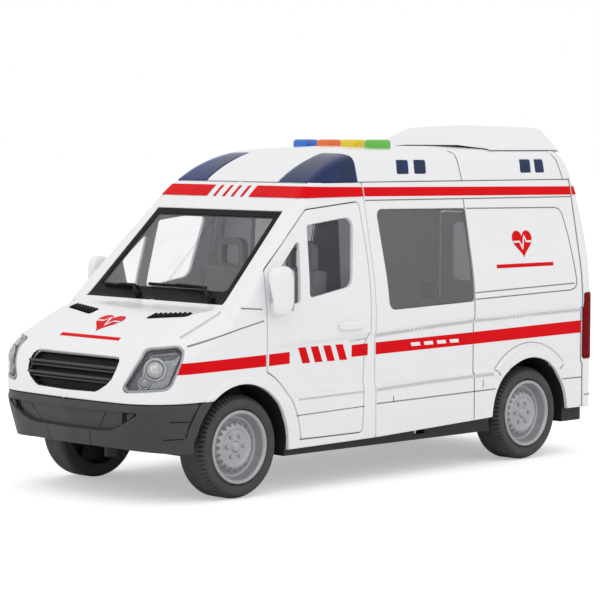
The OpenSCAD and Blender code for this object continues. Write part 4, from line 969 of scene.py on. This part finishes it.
def build_lines():
    """Painted seam shadows, panel lines and painted shade along the creases of the body."""
    low, high = 20.8, 122.2
    heights, door = np.linspace(low, high, 24), rounded(DOOR, 0.2)
    dark = [strip(side_skin, *k) for k in (
        (chain(door, door[:1]), 1.3, -1.2), ([(SEAM_F, low), (SEAM_F, high)], 0.9, -0.9),
        (rear_seam(heights), 0.9, -0.9), ([(-177, DRIP), (35.4, DRIP)], 0.9, -0.9),
        ([(99, 39.3), (174, 39.3)], 1.4, -1.4))]
    place("seam_shadows", both(join(*dark)), "seam")
    lines = [
        [(-52.2, 21), (-52.2, 114.9)], [(7.9, 114.9), (-125, 114.6)], rear_seam(heights, 0.45),
        [(-53.2, 110.6), (-113.5, 110), (-116, 109.2), (-117.5, 106.9), (-118.8, 98.2), (-119.2, 88.3), (-119.6, 78.3),
         (-119.5, 76.1), (-118.5, 74.3), (-115.7, 73.4), (-52.8, 72)],
        [(-52.8, 74.8), (-118.3, 76.3)], [(7.9, 31.9), (-66, 32.8)], [(-177, 26), (-123.6, 26)],
        [(-110.6, 34.1), (-122.3, 34)], [(-2, 34.5), (-2, 31.9)], [(-57.9, 37.2), (-57.9, 34)],
        [(-53.1, 122.6), (-52.7, 128.6), (-52.4, 133.6), (-51.2, 135.2)],
        [(-122.7, 122.6), (-121.6, 131.4), (-120.2, 134.4)],
        [(71.7, 69.1), (84.5, 66.6), (97.3, 63.8), (109.2, 61)], [(83.4, 74.5), (72.6, 73.6)],
        arc(REAR_X, AXLE_Z, 31.1, 42, 136, 50), [(-66.3, 41), (-69.2, 38.4)], [(-111.6, 41.6), (-108.6, 38.6)]]
    thin = [strip(side_skin, k, 0.5, 0.06) for k in lines] + [strip(top_point, level(DRIP, 0, 38), 1.0, -0.25)]
    place("panel_lines", both(join(*thin)), "line")
    # Grey strips along the belt and sill creases and the bonnet edge: painted shade where the surface turns
    crease_shade_strips = [strip(side_skin, k, 1.2, 0.12) for k in (
        [(7.9, 59.8), (-23, 61.5), (-51.7, 62.7), (-88, 63.6), (-122.4, 64.1)],
        [(7.9, 37.6), (-23.4, 38.6), (-51.4, 39.1), (-65, 39.3)])]
    crease_shade_strips.append(strip(top_point, [(86.5, 43.9), (91.1, 45.1), (99, 45), (104.7, 44.7), (109.5, 44.4)], 0.8, 0.05))
    place("painted_crease_shade", both(join(*crease_shade_strips)), "crease")


def build_prints(s):
    """Painted seam shadows and crease shade, panel lines, stripes and plain motifs on the skins."""
    build_lines()
    low, high, inner = 116.2, 120.7, 12.6
    red = [ink(side_skin, k, 2.4) for k in (
        stripe(-122.5, 7.9), stripe(70.6, 114.4, 112.7), [(7.9, 116.5), (7.9, 120.3), *rear_seam((119.2, 115.5), 0.4)],
        [*rear_seam((115.5, 119.2), -0.4), (-176, 118.6), (-176, 114.9)])]
    fold, fold_top = (np.array(k) for k in zip(*[fold_at(z) for z in np.linspace(low, high, 9)]))
    across = chain(level(low, inner, fold_top[0, 1] - FOLD_STEP), fold_top,
                   level(high, fold_top[-1, 1] - FOLD_STEP, inner))
    red.append(ink(side_skin, chain([(8.7, 116.5)], fold, [(8.7, 120.3)]), 1.2, 0.22))
    red.append(ink(top_point, across, 1.2, 0.22))
    x0, x1 = across[0, 0], across[-1, 0]
    red += [ink(top_point, slant((x0 + x1) / 2, y, x0 - x1, 1.7, 0), 1, 0.1) for y in (2.6, 8.2)]
    red.append(ink(side_skin, heart(-87, 95.5, 6.6), 1.2))
    red.append(ink(side_skin, [(-106, 84.6), (-68, 84.6), (-68, 86.2), (-106, 86.2)], 2))
    place("red_prints", both(join(*red)), "red")
    badge = cols(107.9 - heart(0, 0, 6.4)[:, 1], heart(0, 0, 7.4)[:, 0])
    rule = [(117.9, -18), (117.9, 18), (116.5, 18), (116.5, -18)]
    place("bonnet_print", join(ink(top_point, badge, 1.2), ink(top_point, rule, 1.5)), "red")
    beat = [(-93, 95.6), (-89.6, 95.6), (-88.4, 98.2), (-86.6, 92.4), (-85.2, 95.6), (-81, 95.6)]
    place("pulse_prints", both(strip(side_skin, beat, 0.8, 0.12, 0.6)), "white")
    beat = [(107.6, -7), (107.6, -2.8), (104.8, -1.2), (110.6, 1.1), (107.6, 2.8), (107.6, 7)]
    place("bonnet_pulse", strip(top_point, beat, 0.8, 0.12, 0.6), "white")
    dashes = [slant(x, 55, 5.5, 1.5, 0.4) for x in (-16, -24, -32, -40)]
    panels("stripe_dashes", side_skin, dashes, 1.5, 0.12, 0, 0, "white")
    door_red = [ink(side_skin, k, 2.2) for k in (stripe(57, 69.0), stripe(12.6, 22))]
    door_red += [ink(side_skin, slant(x, 54.2, 4.2, 6.4, 0.4), 1.6) for x in (28, 35, 42, 49)]
    door_lines = [strip(side_skin, [(15.2, 31.4), (54, 30.5)], 0.42, 0.04),
                  strip(side_skin, [(12.6, 60.4), (12.6, 60.9)], 0.5, 0.04)]
    # Grey strips along the door creases: painted shade of the creases
    creases = [strip(side_skin, k, 0.8, 0.05) for k in ([(23.4, 58.3), (12.6, 59.1)], [(52.6, 36.8), (15.8, 37.4)])]
    for tag, turned in SIDES:
        place("door_print_" + tag, turned(join(*door_red)), "red", "cab_door_" + tag)
        place("door_lines_" + tag, turned(join(*door_lines)), "line", "cab_door_" + tag)
        place("door_painted_crease_shade_" + tag, turned(join(*creases)), "crease", "cab_door_" + tag)


CAD_LOOKS = {
    "white": ["roof_fairing"],
    "black": ["steering_wheel", "speaker"],
    "chassis": ["chassis_pan", "battery_cover", "gearbox_case"],
    "grey": ["cab_tub", "cab_seats"],
    "pale": ["bulkhead", "rear_deck", "treatment_couch", "beacon_lamps"],
    "steel": ["switch_domes", "battery_cells", "case_screws", "front_axle", "rear_axle", "flywheel"],
    "ivory": ["axle_gear", "idler_gear"],
    "green_board": ["sound_board"],
    "lead": ["battery_leads"],
}


def dress_solids(s):
    """Gives the solid pieces that stay in view their detailed finishes."""
    for key, names in CAD_LOOKS.items():
        for name in names:
            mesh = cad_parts[name].data
            mesh.materials.clear()
            mesh.materials.append(finish_of(key))


# Camera solved from the photograph: focal length in pixels, picture width, sensor in mm and three directions
PHOTO_FOCAL, PHOTO_SIZE, SENSOR = 2398.27, 600, 36
PHOTO_RIGHT, PHOTO_DOWN = (-0.71381, 0.70033, 0.00351), (0.04421, 0.05006, -0.99777)
PHOTO_VIEW = (-0.69894, -0.71207, -0.0667)


def area(name, where, size, power, aim):
    """Soft square light, aimed by a tilt and a turn in degrees."""
    data = bpy.data.lights.new(name, "AREA")
    data.energy = power
    data.size = size
    ob = bpy.data.objects.new(name, data)
    ob.location = where
    ob.rotation_euler = (math.radians(aim[0]), 0, math.radians(aim[1]))
    bpy.context.scene.collection.objects.link(ob)


def build_stage(s):
    """Floor, lights, white surroundings and the camera of the photograph."""
    scene = bpy.context.scene
    m, nt, out = tree("floor_white")
    lift = node(nt, "Math", {0: node(nt, "LightPath")["Is Camera Ray"], 1: s.floor_lift}, operation="MULTIPLY")
    matt = node(nt, "BsdfDiffuse", {"Color": (0.9, 0.9, 0.9, 1)})
    glow = node(nt, "Emission", {"Strength": lift["Value"]})
    lit = node(nt, "AddShader", {0: matt["BSDF"], 1: glow["Emission"]})
    back, clear = node(nt, "NewGeometry")["Backfacing"], node(nt, "BsdfTransparent")["BSDF"]
    nt.links.new(node(nt, "MixShader", {"Fac": back, 1: lit["Shader"], 2: clear})["Shader"], out.inputs["Surface"])
    mesh = bpy.data.meshes.new("floor")
    mesh.from_pydata([(-6, -6, 0), (6, -6, 0), (6, 6, 0), (-6, 6, 0)], [], [(0, 1, 2, 3)])
    mesh.materials.append(m)
    floor = bpy.data.objects.new("floor", mesh)
    scene.collection.objects.link(floor)
    world = bpy.data.worlds.new("studio")
    world.use_nodes = True
    w = world.node_tree
    bg = w.nodes["Background"]
    bg.inputs["Color"].default_value = (1, 1, 1, 1)
    seen = node(w, "LightPath")["Is Camera Ray"]
    level_of = node(w, "MapRange", {"Value": seen, "To Min": s.ambient, "To Max": 1.0})
    w.links.new(level_of["Result"], bg.inputs["Strength"])
    scene.world = world
    area("key_light", (0.9, 0.7, 1.3), 1.2, s.key_power, (38, 128))
    area("fill_light", (-0.2, 1.4, 0.7), 1.2, s.key_power * 0.45, (64, 188))
    area("nose_light", (1.5, -0.1, 0.6), 1.0, s.key_power * 0.35, (70, 94))
    cam = bpy.data.cameras.new("photo_camera")
    cam.sensor_width = SENSOR
    cam.lens = PHOTO_FOCAL / PHOTO_SIZE * SENSOR
    cam.clip_end = 50
    ob = bpy.data.objects.new("photo_camera", cam)
    scene.collection.objects.link(ob)
    rows = [[PHOTO_RIGHT[i], -PHOTO_DOWN[i], -PHOTO_VIEW[i], s.camera[i]] for i in range(3)] + [[0, 0, 0, 1]]
    ob.matrix_world = Matrix(rows)
    scene.camera = ob
    scene.view_settings.view_transform = "Standard"


# Add-on: settings, operators and panel

class AMBULANCE_PG_settings(bpy.types.PropertyGroup):
    """Sizes of the skins in millimetres, and the levels of the studio."""
    edge: FloatProperty(name="Edge radius", description="Rounding of panel edges in mm", default=0.45, min=0.1, max=1.0)
    wall: FloatProperty(name="Wall", description="Thickness of the skins in mm", default=1.7, min=0.8, max=2.2)
    door_gap: FloatProperty(name="Door gap", description="Gap round a cab door in mm", default=0.4, min=0.2, max=0.8)
    notches: IntProperty(name="Tyre notches", description="Notches on the outer shoulder of a tyre",
                         default=66, min=24, max=96)
    ambient: FloatProperty(name="Ambient", description="Strength of the white surroundings",
                           default=0.88, min=0.0, max=2.0)
    floor_lift: FloatProperty(name="Floor lift", description="Extra white of the floor as the camera sees it",
                              default=0.4, min=0.0, max=1.0)
    key_power: FloatProperty(name="Key light", description="Power of the main light",
                             default=2.5, min=0.0, max=100.0, unit="POWER")
    camera: FloatVectorProperty(name="Camera", description="Place of the photo camera",
                                default=(0.7147, 0.7261, 0.1396), size=3, subtype="TRANSLATION", unit="LENGTH")


class AmbulanceStep:
    """Common run of one build step."""
    bl_options = {"REGISTER", "UNDO"}
    build = None

    def execute(self, context):
        """Runs the step with the settings of the scene."""
        type(self).build(context.scene.ambulance)
        return {"FINISHED"}


class AMBULANCE_OT_shell(AmbulanceStep, bpy.types.Operator):
    """Build the fixed white skins"""
    bl_idname = "ambulance.shell"
    bl_label = "Body skins"
    build = staticmethod(build_shell)


class AMBULANCE_OT_doors(AmbulanceStep, bpy.types.Operator):
    """Build the cab doors, mirrors and rear doors"""
    bl_idname = "ambulance.doors"
    bl_label = "Doors"
    build = staticmethod(build_doors)


class AMBULANCE_OT_glass(AmbulanceStep, bpy.types.Operator):
    """Build the windows, lenses and wipers"""
    bl_idname = "ambulance.glass"
    bl_label = "Glass and lenses"
    build = staticmethod(build_glass)


class AMBULANCE_OT_front(AmbulanceStep, bpy.types.Operator):
    """Build the bumper, grille, headlights and vents"""
    bl_idname = "ambulance.front"
    bl_label = "Front end"
    build = staticmethod(build_front)


class AMBULANCE_OT_wheels(AmbulanceStep, bpy.types.Operator):
    """Build the tyres and rims"""
    bl_idname = "ambulance.wheels"
    bl_label = "Wheels"
    build = staticmethod(build_wheels)


class AMBULANCE_OT_buttons(AmbulanceStep, bpy.types.Operator):
    """Build the sound buttons"""
    bl_idname = "ambulance.buttons"
    bl_label = "Buttons"
    build = staticmethod(build_buttons)


class AMBULANCE_OT_prints(AmbulanceStep, bpy.types.Operator):
    """Build the seams, stripes and motifs"""
    bl_idname = "ambulance.prints"
    bl_label = "Prints"
    build = staticmethod(build_prints)


class AMBULANCE_OT_solids(AmbulanceStep, bpy.types.Operator):
    """Give the solid pieces their finishes"""
    bl_idname = "ambulance.solids"
    bl_label = "Solid pieces"
    build = staticmethod(dress_solids)


class AMBULANCE_OT_stage(AmbulanceStep, bpy.types.Operator):
    """Set the floor, lights and camera"""
    bl_idname = "ambulance.stage"
    bl_label = "Stage"
    build = staticmethod(build_stage)


STEPS = (AMBULANCE_OT_shell, AMBULANCE_OT_doors, AMBULANCE_OT_glass, AMBULANCE_OT_front, AMBULANCE_OT_wheels,
         AMBULANCE_OT_buttons, AMBULANCE_OT_prints, AMBULANCE_OT_solids, AMBULANCE_OT_stage)


class AMBULANCE_PT_panel(bpy.types.Panel):
    """Sidebar panel with the settings and the build steps"""
    bl_idname = "AMBULANCE_PT_panel"
    bl_label = "Toy ambulance"
    bl_space_type = "VIEW_3D"
    bl_region_type = "UI"
    bl_category = "Ambulance"

    def draw(self, context):
        """Lists the settings and the steps."""
        s = context.scene.ambulance
        for key in ("edge", "wall", "door_gap", "notches", "ambient", "floor_lift", "key_power", "camera"):
            self.layout.prop(s, key)
        for cls in STEPS:
            self.layout.operator(cls.bl_idname)


CLASSES = (AMBULANCE_PG_settings,) + STEPS + (AMBULANCE_PT_panel,)


def register():
    """Adds the classes and the settings to Blender."""
    for cls in CLASSES:
        bpy.utils.register_class(cls)
    bpy.types.Scene.ambulance = bpy.props.PointerProperty(type=AMBULANCE_PG_settings)


def unregister():
    """Takes them out again."""
    del bpy.types.Scene.ambulance
    for cls in reversed(CLASSES):
        bpy.utils.unregister_class(cls)


def main():
    """Builds everything in order."""
    register()
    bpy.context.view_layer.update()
    for cls in STEPS:
        group, name = cls.bl_idname.split(".")
        if getattr(getattr(bpy.ops, group), name)() != {"FINISHED"}:
            raise RuntimeError(cls.bl_label)


if __name__ == "__main__":
    main()
